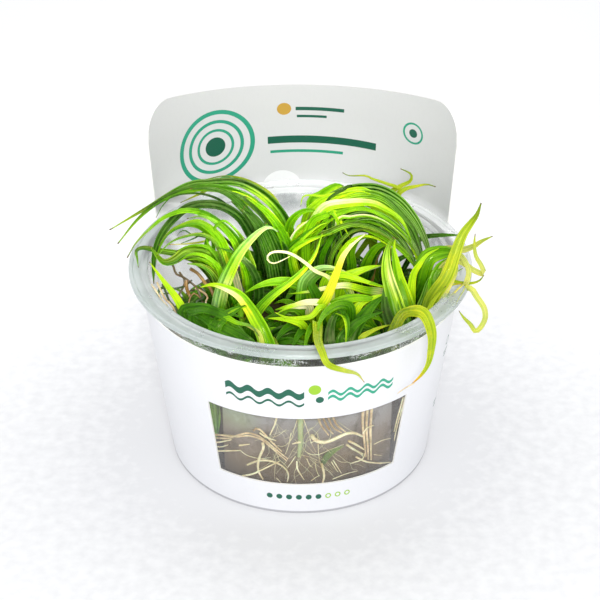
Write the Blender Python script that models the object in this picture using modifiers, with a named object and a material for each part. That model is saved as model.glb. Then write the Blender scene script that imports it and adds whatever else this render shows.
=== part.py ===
"""Blyxa japonica grown in a clear tissue culture cup with a card sleeve.

Lengths are in millimetres and turned into metres where a mesh is made. The cup stands on z = 0 with its
axis on x = y = 0. The sleeve's window looks along -Y and its header card stands at +Y.
"""
import math

import bmesh
import bpy
from mathutils import Vector

MM = 0.001

# Cup, of clear moulded plastic
CUP_HEIGHT = 60.0
RIM_RADIUS = 48.0
RIM_MOUTH_RADIUS = 42.8
RIM_THICKNESS = 1.2
RIM_DISH = 0.7
RIM_ROUND = 0.4
RIM_SHOULDER = 3.0
CUP_FOOT_RADIUS = 37.6
CUP_SLOPE = 0.123
WALL = 0.9
FLOOR = 1.2
FOOT_ROUND = 0.8
INNER_ROUND = 1.0
CUP_STEPS = 44

# Card sleeve, one sheet with a window in front and a header behind
CARD = 0.5
CARD_GAP = 0.4
SLEEVE_TOP = 54.0
WINDOW_BOTTOM = 11.5
WINDOW_TOP = 36.0
WINDOW_CENTRE = 3.4
WINDOW_HALF_ANGLE = 37.0
HEADER_CENTRE = 178.7
HEADER_HALF_ANGLE = 62.0
HEADER_TOP = 90.5
HEADER_SHOULDER_RISE = 3.5
HEADER_SHOULDER_ANGLE = 50.0
HEADER_CORNER = 10.0
HEADER_BEND_START = 36.0
HEADER_BLEND_ANGLE = 24.0
HEADER_FLARE = 1.2
HEADER_ROW_GAP = 0.6
CARD_RIM_ROW = 58.4
HEADER_RIM_RADIUS = 48.5
HEADER_TOP_RADIUS = 50.6

# Gel that the plants grow in
GEL_TOP = 37.0
GEL_WALL_GAP = 2.6
GEL_FLOOR_GAP = 0.3
GEL_EDGE_RISE = 0.6
GEL_EDGE_WIDTH = 2.0
GEL_STEPS = 32
POCKET_GAP = 0.3
POCKET_RISE = 4.0

# Plants
STEM_BASE_RADIUS = 2.1
STEM_TOP_RADIUS = 1.5
STEM_DEPTH = 12.0
STEM_SIDES = 10
LEAF_THICKNESS = 0.5
LEAF_KEEL = 0.12
LEAF_ROW = 4.8
LEAF_BASE_WIDTH = 0.55
LEAF_TIP_WIDTH = 0.12

FACE_BASE = (0.0, -1.0, 0.15)
FACE_TIP = (0.0, -0.45, 0.9)

# Stems: name, centre x, centre y, top above the cup's foot
STEMS = [
    ("back_stem", -5.5, 17.0, 41.0),
    ("back_right_stem", 5.5, 17.0, 41.0),
    ("far_right_stem", 23.0, 15.0, 41.0),
    ("left_stem", -19.0, 1.5, 41.0),
    ("front_left_stem", -13.5, -21.0, 41.0),
    ("front_stem", 6.0, -12.0, 46.0),
    ("front_right_stem", 24.5, -14.5, 41.0),
    ("right_stem", 31.5, -4.5, 41.0),
]

DEEP = (0.05, 0.16, 0.01)
GREEN = (0.12, 0.32, 0.02)
BRIGHT = (0.25, 0.50, 0.02)
LIME = (0.42, 0.62, 0.04)
YELLOW = (0.70, 0.66, 0.10)
PALE = (0.72, 0.74, 0.35)

# Leaves: name, width, colour, route from base to tip, and the side that faces up at base and at tip
LEAVES = [
    ("back_leaf_1", 4.2, GREEN,
     [(-2.2, 17.6, 38), (-2.9, 17, 49), (-3.5, 18.2, 60), (-9.5, 19.6, 70), (-18.5, 20.4, 74.7),
      (-31.5, 18.4, 74.6), (-44, 13, 69.2), (-54, 8, 65)]),
    ("back_leaf_2", 4, LIME,
     [(-5, 14.4, 38), (-5.5, 14, 51), (-6, 14.5, 60.5), (-11.5, 15, 69), (-18.5, 15.5, 73),
      (-27.5, 14.5, 75), (-38.5, 11, 73), (-45.5, 7.5, 69), (-51.5, 4.5, 61)]),
    ("back_leaf_3", 3.6, GREEN,
     [(-8.2, 14.6, 38), (-9, 12, 52), (-10, 12.2, 60), (-15, 12.5, 67.5), (-21.5, 12, 72),
      (-29, 10.5, 73), (-36, 9, 71)]),
    ("back_leaf_4", 2.6, DEEP,
     [(-9.4, 17.6, 38), (-12.2, 14.5, 45), (-12.5, 11, 53), (-13, 10, 61), (-17, 9.5, 67),
      (-25.5, 8.5, 70.5), (-34, 6.5, 70), (-38.5, 4.5, 66), (-40.5, 3, 61), (-41, 1, 55),
      (-40.5, 0, 51)]),
    ("back_leaf_5", 1.4, YELLOW,
     [(-3.2, 19.7, 38), (-1, 20.4, 48), (-1, 21.2, 56.5), (-5, 22.6, 65.6), (-8, 23, 70.6),
      (-17, 23.4, 75.2), (-27.5, 23, 75)]),
    ("back_leaf_6", 1.8, YELLOW,
     [(-6.6, 19.9, 38), (-11.5, 21.5, 49), (-16, 22.5, 64.2), (-21, 22.5, 70.4), (-25, 21.8, 71.2),
      (-29.5, 20.6, 69.5), (-34.5, 18.5, 68)]),
    ("left_leaf_1", 3, BRIGHT,
     [(-16, 3.6, 38), (-14.5, 4, 49), (-15.5, 4, 57), (-18, 4.5, 63), (-22, 5, 68), (-28, 4, 71),
      (-34.5, 2, 71), (-41, -0.5, 69), (-48.5, -4, 62.5)]),
    ("left_leaf_2", 2.6, BRIGHT,
     [(-16.5, -0.5, 38), (-18.5, 1, 51), (-19.5, 1, 58.5), (-22, 1, 65.5), (-25.5, 0.5, 70),
      (-30.5, -1, 70.5), (-36, -3.5, 71), (-40, -5, 68)]),
    ("left_leaf_3", 2.2, GREEN,
     [(-19.4, -1.5, 38), (-20.5, -2, 53), (-21.5, -3, 61), (-23.5, -3.5, 67.5), (-27, -4, 70.5),
      (-32, -4.5, 70), (-36, -5.5, 68.5), (-39.5, -6.5, 65)]),
    ("left_leaf_4", 4, BRIGHT,
     [(-22.4, -1, 38), (-23.5, -7, 44.5), (-22, -8, 54), (-19.5, -7, 60.5), (-16.5, -6, 66),
      (-12.5, -4, 70), (-9, -2, 71.5), (-6, -1, 69.5)]),
    ("left_leaf_5", 2.6, DEEP,
     [(-20.6, 4.5, 38), (-26, 9, 50), (-30, 8, 57), (-35, 6.5, 60.7), (-41, 5, 62), (-45, 4, 62),
      (-46.5, 1.5, 62), (-46, -2, 61.5), (-46.5, -5, 61.5)]),
    ("left_leaf_6", 4.6, LIME,
     [(-22.6, 2.2, 38), (-21.5, 3, 52), (-24, 2.5, 58), (-27.5, 2, 61.5), (-31.5, 1, 62.3),
      (-36.5, -0.5, 61), (-39.5, -2, 62.5), (-41.5, -3, 66)]),
    ("front_left_leaf_1", 4.6, LIME,
     [(-10.2, -22.8, 38), (-8, -29, 46), (-10, -27, 53), (-12, -24.5, 56), (-14, -21, 57.5),
      (-16.5, -19, 60), (-20, -17, 61), (-24, -15, 61), (-27.5, -14, 59.5)]),
    ("front_left_leaf_2", 4.4, DEEP,
     [(-13.4, -24.3, 38), (-13, -32, 51), (-16.5, -31, 54.5), (-23, -27, 56), (-27.5, -23, 56.5),
      (-31, -19, 55.5)]),
    ("front_left_leaf_3", 3.2, LIME,
     [(-17, -20.4, 38), (-24, -18, 40.5), (-29, -15, 43), (-32, -12, 49.5), (-34.5, -9, 53),
      (-38, -6, 56.5), (-42, -3, 61)]),
    ("front_left_leaf_4", 3.6, LIME,
     [(-11.2, -18, 38), (-15, -19, 47.5), (-11.5, -17, 54), (-7.5, -15.5, 58), (-3, -14, 61),
      (1, -12, 64), (4, -9, 67), (6, -5, 71.5)]),
    ("front_leaf_1", 3.2, YELLOW,
     [(6.8, -14.7, 42), (5.5, -17, 54), (7, -18, 58.5), (8.5, -18.5, 63), (10, -18.5, 68),
      (11.5, -18, 72), (14, -17, 75), (17.5, -15, 77)]),
    ("front_leaf_2", 2.8, YELLOW,
     [(4, -14.2, 40), (4.5, -27, 56.5), (4.5, -35, 60), (4.5, -43, 61.5), (5.5, -49, 62),
      (7, -51, 59.5), (11, -50, 57), (14.5, -48, 54.5), (16.5, -46, 50.5)]),
    ("front_leaf_3", 2.6, LIME,
     [(23.8, -11.2, 38), (26, -4, 47), (23.5, -6, 52.5), (18, -9, 55.5), (12.5, -10.5, 58),
      (7.5, -11, 57.5), (1.5, -11.5, 56.5), (-3.5, -11, 55.5)]),
    ("front_leaf_4", 3, BRIGHT,
     [(2.8, -10.8, 42), (2.4, -14, 53), (-0.5, -15.5, 54.5), (-3.5, -16, 54.5), (-7, -16, 53.5)]),
    ("front_leaf_5", 3, LIME,
     [(2.4, -13, 38.5), (1.4, -18, 45), (0.8, -21, 51.5), (-2, -22, 53.8), (-5.5, -22, 54.5),
      (-9, -21, 54)]),
    ("front_leaf_6", 3, GREEN,
     [(9.2, -13, 40), (9.6, -19, 51.5), (10.4, -22.5, 56.4), (12, -25, 57), (12.5, -29, 56),
      (12, -34, 54.5)]),
    ("front_leaf_7", 3.8, BRIGHT,
     [(4.4, -8.8, 41), (1.5, -7, 53.5), (-1, -7.5, 56.5), (-6, -8.5, 58), (-11, -9.5, 57.5),
      (-15.5, -10.5, 55.5)]),
    ("front_right_leaf_1", 3.6, BRIGHT,
     [(26.4, -17.2, 38), (27.5, -18.5, 49), (26, -15, 55.5), (24, -12, 61.5), (23, -9, 65.5),
      (23.5, -6.5, 68.5), (25, -5, 70)]),
    ("front_right_leaf_2", 3.2, BRIGHT,
     [(28, -14.8, 38), (30.5, -15, 48), (29.5, -13, 55), (28, -10, 61.5), (27, -8, 65.5),
      (27, -6, 69.5)]),
    ("front_right_leaf_3", 2.8, LIME,
     [(27.2, -12, 38), (33, -11, 47), (33, -11.2, 54), (32, -11, 59.5), (32.5, -10.6, 64.5),
      (34, -9.6, 67.8), (37.5, -8, 69)]),
    ("front_right_leaf_4", 3.2, YELLOW,
     [(23.2, -17.4, 38), (22.5, -26, 46.5), (24.5, -29, 55), (26.5, -31.5, 62), (29, -33.5, 64.5),
      (31.5, -36, 65.5), (33.5, -38, 64), (34, -38.5, 61), (34, -38, 55), (33.5, -37, 49.5),
      (31.5, -37, 46), (28, -39, 43)]),
    ("front_right_leaf_5", 4.6, GREEN,
     [(20.6, -14.8, 38.4), (17.5, -19.8, 41.5), (13.5, -25, 46), (14.5, -22.5, 51), (18, -19, 54.5),
      (21, -15.5, 56), (24, -12.5, 56.5)]),
    ("right_leaf_1", 3.4, LIME,
     [(30.4, -7.2, 38), (33, -14, 42), (34.2, -18.8, 49), (35, -19, 58.4), (36.2, -19.3, 61.6),
      (38.6, -19, 64.2), (41.5, -16.5, 68.3), (42.5, -14, 71.5), (46, -11, 76), (48.5, -8, 82.5)]),
    ("right_leaf_2", 4.2, GREEN,
     [(28, -2.4, 38), (31, -2, 47), (33, -5.4, 55), (34, -5, 60), (35.5, -4, 63), (38, -3.5, 64),
      (41, -3, 64), (44.5, -2.5, 62.5)]),
    ("right_leaf_3", 3.8, GREEN,
     [(34.8, -5, 38), (36.2, -10, 44), (36, -14.3, 51.5), (37.6, -13.8, 56), (39.3, -12, 60),
      (41, -9.4, 62.6), (42.6, -7, 64)]),
    ("right_leaf_4", 1.8, YELLOW,
     [(32, -1.6, 38), (35, 3.5, 54), (38.5, 3.5, 60), (41.5, 2.5, 62), (45, 1, 62.5), (48, -0.5, 64.5),
      (50.5, -1.5, 67), (53, -2.5, 69)]),
    ("right_leaf_5", 1.8, YELLOW,
     [(34.4, -2.4, 38), (36.8, -6, 48), (37, -9.5, 58), (39.5, -10.6, 64.8), (43.5, -10.8, 65.8),
      (47, -11.4, 63.6), (50, -12.8, 63), (49, -13, 66), (47.5, -12.5, 68.5), (47, -11.5, 71.5),
      (47, -11.5, 75)]),
    ("right_leaf_6", 2, PALE,
     [(33.4, -7.2, 38), (36.2, -13.5, 44), (37.3, -17.2, 51), (38, -16.6, 58), (38.2, -15.6, 62),
      (38.8, -14.4, 65.5), (40.8, -12.2, 67.8), (43, -11.6, 68.6), (44.4, -13.6, 68.2),
      (45.2, -15.4, 66.2), (45.4, -16.6, 63.8), (45.4, -18, 62), (47.2, -19.6, 60.4), (48.6, -20.4, 57),
      (49.6, -21.3, 53.8), (49.1, -21.5, 51.2), (47.6, -21.7, 50.5), (45.9, -21.4, 51.8),
      (44.4, -20.6, 54)]),
    ("far_right_leaf_1", 2.2, DEEP,
     [(25.2, 12.8, 38), (31, 11.5, 52.5), (34, 10.6, 60.2), (38, 9.6, 62.2), (45.5, 7.6, 63.6)]),
    ("far_right_leaf_2", 2, BRIGHT,
     [(22.6, 17.6, 38), (21, 20.5, 62), (24.5, 21, 69.5), (28.5, 21, 72.5), (31, 20.8, 74.5),
      (32, 20.6, 76.5), (30.5, 20, 78.4), (28.5, 19.4, 78.8)]),
    ("far_right_leaf_3", 2, LIME,
     [(26, 15.8, 38), (25.4, 17.5, 50), (24.5, 18.5, 63), (27.5, 18.5, 70.5), (30, 18.5, 73),
      (32.5, 18, 74), (35.5, 17.5, 75), (38.5, 17, 75)]),
    ("back_right_leaf_1", 3.2, DEEP,
     [(5.2, 20.2, 38), (1, 22, 50.5), (5, 22.5, 63), (10.5, 22, 69.5), (16, 20.5, 73), (22, 18, 74.5),
      (29, 14, 73.5), (34.5, 10, 68), (37.5, 6.5, 63.5), (39, 3.5, 58), (38.5, 1.5, 52)]),
    ("back_right_leaf_2", 3, DEEP,
     [(2.6, 19.4, 38), (1, 20, 49.5), (5, 20, 61.5), (9.5, 19.5, 68), (15, 18, 72), (21, 15.5, 73.5),
      (27.5, 11.5, 72), (32.5, 7.5, 67), (35.5, 4, 62), (37, 1.5, 57.5), (36.5, 0, 52.5)]),
    ("back_right_leaf_3", 4, LIME,
     [(2, 17, 38), (1.8, 17.8, 51), (5, 17.5, 61.5), (10, 16.5, 68), (14.5, 15, 71), (19.5, 13, 71.2),
      (24.5, 10, 69), (28.5, 6.5, 65.5), (32, 3, 61), (34, 0.5, 55.5)]),
    ("back_right_leaf_4", 3.8, PALE,
     [(3, 14.6, 38), (1, 15, 51.5), (4.5, 14.5, 60.5), (9, 14, 66.5), (14, 12, 69), (19, 10, 69),
      (24, 7, 67), (28, 3.5, 64.5), (31.5, 0.5, 60), (33.5, -1.5, 55)]),
    ("back_right_leaf_5", 3.4, GREEN,
     [(6, 14.2, 38), (2, 12, 51), (5, 11.3, 58.3), (9.5, 10, 64), (14, 8.8, 66.7), (19, 6.4, 66.3),
      (24, 3.3, 64.8), (28, 0.4, 62.9), (31.5, -2.4, 59.8), (33.5, -4.2, 56.3)]),
    ("back_right_leaf_6", 3.4, GREEN,
     [(8.2, 19.6, 38), (8, 24, 50), (7, 25, 60), (7.5, 25.5, 66), (9, 25.5, 71), (11.5, 25.5, 73),
      (13.5, 24.5, 71.5)]),
]

# The side that faces up, at base and at tip, of the leaves that hang over the rim
LEAF_FACES = {
    "front_leaf_2": ((0.0, -0.3, 1.0), (0.1, -1.0, 0.2)),
    "front_right_leaf_4": ((0.0, -1.0, 0.3), (0.7, -0.8, 0.2)),
    "right_leaf_6": ((0.0, -1.0, 0.3), (0.3, -0.9, 0.3)),
    "front_leaf_6": ((0.0, -1.0, 0.5), (0.3, 0.0, 1.0)),
}

# Roots against the wall behind the window: name, radius, and a route of (angle from the front, height)
ROOTS = [
    ("folded_root", 0.85, [(-31, 27), (-22, 28), (-14, 28.5), (-9, 27), (-6, 23), (-4, 19.5)]),
    ("looped_root", 0.45, [(-18, 15.5), (-13, 17.5), (-8, 18), (-5, 16.5), (-3, 13.5), (-3.5, 10.5)]),
    ("tan_root", 0.95, [(9.5, 36.5), (11.5, 33), (13.4, 30)]),
    ("cream_root", 0.75, [(5, 26), (8, 23.5), (12, 24), (17, 28), (22, 31), (26, 31)]),
    ("thick_root", 0.95, [(30, 36), (30, 32), (30.5, 27), (31, 21), (31.5, 17)]),
]
ROOT_COLOUR = (0.62, 0.52, 0.27)


def wall_outer(z):
    return CUP_FOOT_RADIUS + CUP_SLOPE * z


def wall_inner(z):
    return wall_outer(z) - WALL


def turned(angle, radius, z):
    """A point at an angle in degrees from the front, growing towards +X."""
    a = math.radians(angle)
    return Vector((radius * math.sin(a), -radius * math.cos(a), z))


def material(name, colour, roughness=0.5, alpha=1.0):
    made = bpy.data.materials.new(name)
    made.use_nodes = True
    shader = made.node_tree.nodes["Principled BSDF"]
    shader.inputs["Base Color"].default_value = (*colour, 1.0)
    shader.inputs["Roughness"].default_value = roughness
    shader.inputs["Metallic"].default_value = 0.0
    shader.inputs["Alpha"].default_value = alpha
    return made


def add_object(name, bm, collection, finish, smooth_angle=None):
    """Turns a bmesh in millimetres into a named object in metres."""
    bmesh.ops.scale(bm, vec=(MM, MM, MM), verts=bm.verts)
    mesh = bpy.data.meshes.new(name)
    bm.to_mesh(mesh)
    bm.free()
    if smooth_angle is not None:
        mesh.shade_smooth()
        mesh.set_sharp_from_angle(angle=math.radians(smooth_angle))
    if finish is not None:
        mesh.materials.append(finish)
    made = bpy.data.objects.new(name, mesh)
    collection.objects.link(made)
    return made


def turned_solid(name, profile, steps, collection, finish):
    """A solid of revolution from a profile that runs up its inner side and down its outer one."""
    bm = bmesh.new()
    verts = [bm.verts.new((r, 0.0, z)) for r, z in profile]
    for a, b in zip(verts, verts[1:]):
        bm.edges.new((a, b))
    made = add_object(name, bm, collection, finish)
    screw = made.modifiers.new("Turn", "SCREW")
    screw.axis = "Z"
    screw.angle = math.tau
    screw.steps = steps
    screw.render_steps = steps
    screw.use_merge_vertices = True
    screw.merge_threshold = 0.00001
    screw.use_smooth_shade = True
    return made


def smooth_route(points, step):
    """Evenly spaced points on a Catmull-Rom curve through the given ones."""
    p = [Vector(q) for q in points]
    p = [2 * p[0] - p[1]] + p + [2 * p[-1] - p[-2]]
    fine = []
    for i in range(1, len(p) - 2):
        for k in range(16):
            t = k / 16
            fine.append(0.5 * (2 * p[i] + (p[i + 1] - p[i - 1]) * t
                               + (2 * p[i - 1] - 5 * p[i] + 4 * p[i + 1] - p[i + 2]) * t * t
                               + (3 * p[i] - p[i - 1] - 3 * p[i + 1] + p[i + 2]) * t ** 3))
    fine.append(p[-2])
    along = [0.0]
    for a, b in zip(fine, fine[1:]):
        along.append(along[-1] + (b - a).length)
    count = max(6, round(along[-1] / step))
    route = []
    j = 0
    for i in range(count + 1):
        want = along[-1] * i / count
        while j < len(along) - 2 and along[j + 1] < want:
            j += 1
        share = (want - along[j]) / max(along[j + 1] - along[j], 1e-9)
        route.append(fine[j].lerp(fine[j + 1], min(share, 1.0)))
    return route


def leaf_width(share):
    """Width along a leaf as a share of its greatest width."""
    base = LEAF_BASE_WIDTH + (1 - LEAF_BASE_WIDTH) * min(share / 0.35, 1.0)
    tip = max(1 - share ** 3.2, 0.0) ** 0.8
    return max(base * tip, LEAF_TIP_WIDTH)


def make_leaf(name, width, colour, points, collection):
    """A keeled ribbon along a route, given its thickness by Solidify."""
    face_base, face_tip = (Vector(f) for f in LEAF_FACES.get(name, (FACE_BASE, FACE_TIP)))
    route = smooth_route(points, LEAF_ROW)
    rows = len(route) - 1
    bm = bmesh.new()
    bmesh.ops.create_grid(bm, x_segments=2, y_segments=rows, size=1.0)
    for vert in bm.verts:
        share = (vert.co.y + 1) / 2
        row = round(share * rows)
        ahead = route[min(row + 1, rows)] - route[max(row - 1, 0)]
        across = ahead.cross(face_base.lerp(face_tip, share)).normalized()
        up = across.cross(ahead).normalized()
        half = width * leaf_width(share) / 2
        side = vert.co.x
        vert.co = route[row] + across * side * half + up * abs(side) * half * LEAF_KEEL
    made = add_object(name, bm, collection, material(name, colour, 0.35), 60)
    made.data.flip_normals()
    thick = made.modifiers.new("Thickness", "SOLIDIFY")
    thick.thickness = LEAF_THICKNESS * MM
    thick.offset = 0.0
    return made


def make_cup(collection):
    rim_under = CUP_HEIGHT - RIM_THICKNESS
    rim_root = rim_under - FOOT_ROUND
    shoulder = CUP_HEIGHT - RIM_SHOULDER
    inner_foot = FLOOR + INNER_ROUND
    inside = [
        (0, FLOOR), (wall_inner(FLOOR) - INNER_ROUND, FLOOR), (wall_inner(inner_foot), inner_foot),
        (wall_inner(shoulder), shoulder), (RIM_MOUTH_RADIUS, CUP_HEIGHT - RIM_DISH)]
    rim = [
        (RIM_MOUTH_RADIUS + RIM_ROUND, CUP_HEIGHT), (RIM_RADIUS - RIM_ROUND, CUP_HEIGHT),
        (RIM_RADIUS, CUP_HEIGHT - RIM_ROUND), (RIM_RADIUS, rim_under), (RIM_RADIUS - RIM_ROUND, rim_under),
        (wall_outer(rim_under) + RIM_ROUND, rim_under), (wall_outer(rim_root), rim_root)]
    outside = [(wall_outer(FOOT_ROUND), FOOT_ROUND), (wall_outer(0) - FOOT_ROUND, 0), (0, 0)]
    finish = material("cup", (0.92, 0.94, 0.95), 0.1, 0.35)
    return turned_solid("cup", inside + rim + outside, CUP_STEPS, collection, finish)


def sleeve_radius(z, angle):
    """Inner radius of the card, which leaves the wall behind to pass outside the rim."""
    close = wall_outer(z) + CARD_GAP
    if z <= HEADER_BEND_START:
        return close
    if z < CARD_RIM_ROW:
        start = wall_outer(HEADER_BEND_START) + CARD_GAP
        share = (z - HEADER_BEND_START) / (CARD_RIM_ROW - HEADER_BEND_START)
        away = start + (HEADER_RIM_RADIUS - start) * share ** HEADER_FLARE
    else:
        share = (z - CARD_RIM_ROW) / (HEADER_TOP - CARD_RIM_ROW)
        away = HEADER_RIM_RADIUS + (HEADER_TOP_RADIUS - HEADER_RIM_RADIUS) * share
    off = min(abs(angle - HEADER_CENTRE), abs(angle + 360 - HEADER_CENTRE)) - HEADER_HALF_ANGLE
    blend = min(max(1 - off / HEADER_BLEND_ANGLE, 0.0), 1.0)
    return close + (away - close) * blend * blend * (3 - 2 * blend)


def header_top(angle):
    """Height of the header's upper edge, with raised shoulders and round corners."""
    off = abs(angle - HEADER_CENTRE)
    top = HEADER_TOP + HEADER_SHOULDER_RISE * min(off / HEADER_SHOULDER_ANGLE, 1.0) ** 2
    from_edge = math.radians(HEADER_HALF_ANGLE - off) * HEADER_TOP_RADIUS
    if from_edge < HEADER_CORNER:
        top -= HEADER_CORNER - math.sqrt(max(HEADER_CORNER ** 2 - (HEADER_CORNER - from_edge) ** 2, 0.0))
    return top


def spread(start, end, count):
    return [start + (end - start) * i / count for i in range(count)]


def make_sleeve(collection):
    left = WINDOW_CENTRE - WINDOW_HALF_ANGLE
    right = WINDOW_CENTRE + WINDOW_HALF_ANGLE
    header_left = HEADER_CENTRE - HEADER_HALF_ANGLE
    header_right = HEADER_CENTRE + HEADER_HALF_ANGLE
    corner = math.degrees(HEADER_CORNER / HEADER_TOP_RADIUS)
    angles = (spread(left, right, 9) + spread(right, header_left, 8)
              + spread(header_left, header_left + corner, 4)
              + spread(header_left + corner, header_right - corner, 12)
              + spread(header_right - corner, header_right, 4)
              + spread(header_right, left + 360, 8))
    low_rows = [0.0, WINDOW_BOTTOM, WINDOW_TOP, 45.0, SLEEVE_TOP]
    high_rows = [CARD_RIM_ROW, CUP_HEIGHT + 1.0, 70.0, 80.0]
    bm = bmesh.new()
    columns = []
    for angle in angles:
        in_header = header_left - 0.01 <= angle <= header_right + 0.01
        heights = list(low_rows)
        if in_header:
            edge = header_top(angle)
            rows_above = len(high_rows)
            heights += [min(z, edge - HEADER_ROW_GAP * (rows_above - i)) for i, z in enumerate(high_rows)]
            heights.append(edge)
        columns.append([bm.verts.new(turned(angle, sleeve_radius(z, angle), z)) for z in heights])
    count = len(columns)
    for i in range(count):
        here, there = columns[i], columns[(i + 1) % count]
        for k in range(min(len(here), len(there)) - 1):
            if angles[i] < right and low_rows[k] == WINDOW_BOTTOM:
                continue
            bm.faces.new((here[k], there[k], there[k + 1], here[k + 1]))
    finish = material("card_sleeve", (0.86, 0.86, 0.85), 0.6)
    made = add_object("card_sleeve", bm, collection, finish, 40)
    thick = made.modifiers.new("Card", "SOLIDIFY")
    thick.thickness = CARD * MM
    thick.offset = 1.0
    return made


def make_stem(name, x, y, top, collection):
    low = GEL_TOP - STEM_DEPTH
    bm = bmesh.new()
    bmesh.ops.create_cone(bm, cap_ends=True, segments=STEM_SIDES, radius1=STEM_BASE_RADIUS,
                          radius2=STEM_TOP_RADIUS, depth=top - low)
    bmesh.ops.translate(bm, vec=(x, y, (top + low) / 2), verts=bm.verts)
    return add_object(name, bm, collection, material(name, (0.45, 0.55, 0.18), 0.4), 50)


def make_gel(collection, cutters):
    floor = FLOOR + GEL_FLOOR_GAP
    edge = wall_inner(GEL_TOP) - GEL_WALL_GAP
    profile = [
        (0, GEL_TOP), (edge - GEL_EDGE_WIDTH, GEL_TOP), (edge, GEL_TOP + GEL_EDGE_RISE),
        (wall_inner(floor) - GEL_WALL_GAP, floor), (0, floor)]
    made = turned_solid("gel", profile, GEL_STEPS, collection, material("gel", (0.75, 0.72, 0.62), 0.15, 0.6))
    for name, x, y, top in STEMS:
        bm = bmesh.new()
        bmesh.ops.create_cone(bm, cap_ends=True, segments=STEM_SIDES, radius1=STEM_BASE_RADIUS + POCKET_GAP,
                              radius2=STEM_BASE_RADIUS + POCKET_GAP, depth=STEM_DEPTH + POCKET_RISE)
        middle = GEL_TOP - STEM_DEPTH - POCKET_GAP + (STEM_DEPTH + POCKET_RISE) / 2
        bmesh.ops.translate(bm, vec=(x, y, middle), verts=bm.verts)
        cutter = add_object(name + "_pocket", bm, cutters, None)
        cutter.hide_render = True
        cutter.display_type = "WIRE"
        cut = made.modifiers.new(name, "BOOLEAN")
        cut.operation = "DIFFERENCE"
        cut.solver = "EXACT"
        cut.object = cutter
    return made


def make_root(name, radius, places, collection):
    """A root that lies between the gel and the wall."""
    curve = bpy.data.curves.new(name, "CURVE")
    curve.dimensions = "3D"
    curve.bevel_depth = radius * MM
    curve.bevel_resolution = 2
    curve.use_fill_caps = True
    middle = GEL_WALL_GAP / 2
    points = smooth_route([turned(a, wall_inner(z) - middle, z) for a, z in places], 4.0)
    spline = curve.splines.new("POLY")
    spline.points.add(len(points) - 1)
    for point, place in zip(spline.points, points):
        point.co = (*(place * MM), 1.0)
    curve.materials.append(material(name, ROOT_COLOUR, 0.5))
    made = bpy.data.objects.new(name, curve)
    collection.objects.link(made)
    return made


def main():
    for old in list(bpy.data.objects):
        bpy.data.objects.remove(old)
    plant_cup = bpy.data.collections.new("blyxa_culture_cup")
    cutters = bpy.data.collections.new("cutters")
    bpy.context.scene.collection.children.link(plant_cup)
    bpy.context.scene.collection.children.link(cutters)
    make_cup(plant_cup)
    make_sleeve(plant_cup)
    make_gel(plant_cup, cutters)
    for name, x, y, top in STEMS:
        make_stem(name, x, y, top, plant_cup)
    for name, width, colour, points in LEAVES:
        make_leaf(name, width, colour, points, plant_cup)
    for name, radius, places in ROOTS:
        make_root(name, radius, places, plant_cup)


main()
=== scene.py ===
"""Blyxa japonica grown in a clear culture cup, as it looks: leaves, roots, gel, cup and card sleeve.

Sizes are in millimetres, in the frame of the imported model, and MM turns them into metres. The cup stands
on z = 0, the window in its sleeve looks along -Y and the header card stands at +Y.
"""

import math
import random

import bmesh
import bpy
from mathutils import Matrix, Vector, noise


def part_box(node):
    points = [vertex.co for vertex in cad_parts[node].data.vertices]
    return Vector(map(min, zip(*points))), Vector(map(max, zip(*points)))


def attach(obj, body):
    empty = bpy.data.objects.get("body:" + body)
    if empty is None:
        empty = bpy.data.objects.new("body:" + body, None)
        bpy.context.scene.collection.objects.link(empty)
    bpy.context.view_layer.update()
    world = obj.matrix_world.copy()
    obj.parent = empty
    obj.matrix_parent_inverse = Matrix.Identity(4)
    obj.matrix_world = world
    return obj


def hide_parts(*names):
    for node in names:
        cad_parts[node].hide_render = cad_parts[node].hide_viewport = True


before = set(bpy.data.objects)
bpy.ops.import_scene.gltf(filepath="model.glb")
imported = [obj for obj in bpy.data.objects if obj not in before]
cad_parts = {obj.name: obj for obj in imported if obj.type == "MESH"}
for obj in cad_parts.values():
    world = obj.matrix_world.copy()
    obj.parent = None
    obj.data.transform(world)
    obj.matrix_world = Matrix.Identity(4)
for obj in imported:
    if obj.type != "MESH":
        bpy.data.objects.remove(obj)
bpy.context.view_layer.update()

MM = 0.001

# Camera, as the photograph was taken
CAMERA_PLACE = (-0.12, -380.4, 287.0)
CAMERA_AIM = (-0.12, 0.0, 46.6)
CAMERA_LENS = 94.8
CAMERA_SENSOR = 36.0

# Cup, of clear moulded plastic
CUP_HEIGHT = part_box("cup")[1][2] / MM
RIM_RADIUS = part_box("cup")[1][0] / MM
MOUTH_RADIUS = 42.8
RIM_THICKNESS = 1.2
FOOT_RADIUS = 37.6
CUP_SLOPE = 0.123
WALL = 0.9
FLOOR = 1.2
CUP_STEPS = 160
RIM_LOWEST = 58.3
RIM_FLARE_INSIDE = (56.8, 58.2)
RIM_FLARE_OUTSIDE = (57.6, 58.6)
PLASTIC_IOR = 1.49
CUP_PLASTIC = (0.985, 0.99, 0.99)
CUP_MIST_AND_SHADE = (0.5, 0.52, 0.52)
CLEAR_TINT = (0.98, 0.985, 0.985)

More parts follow.
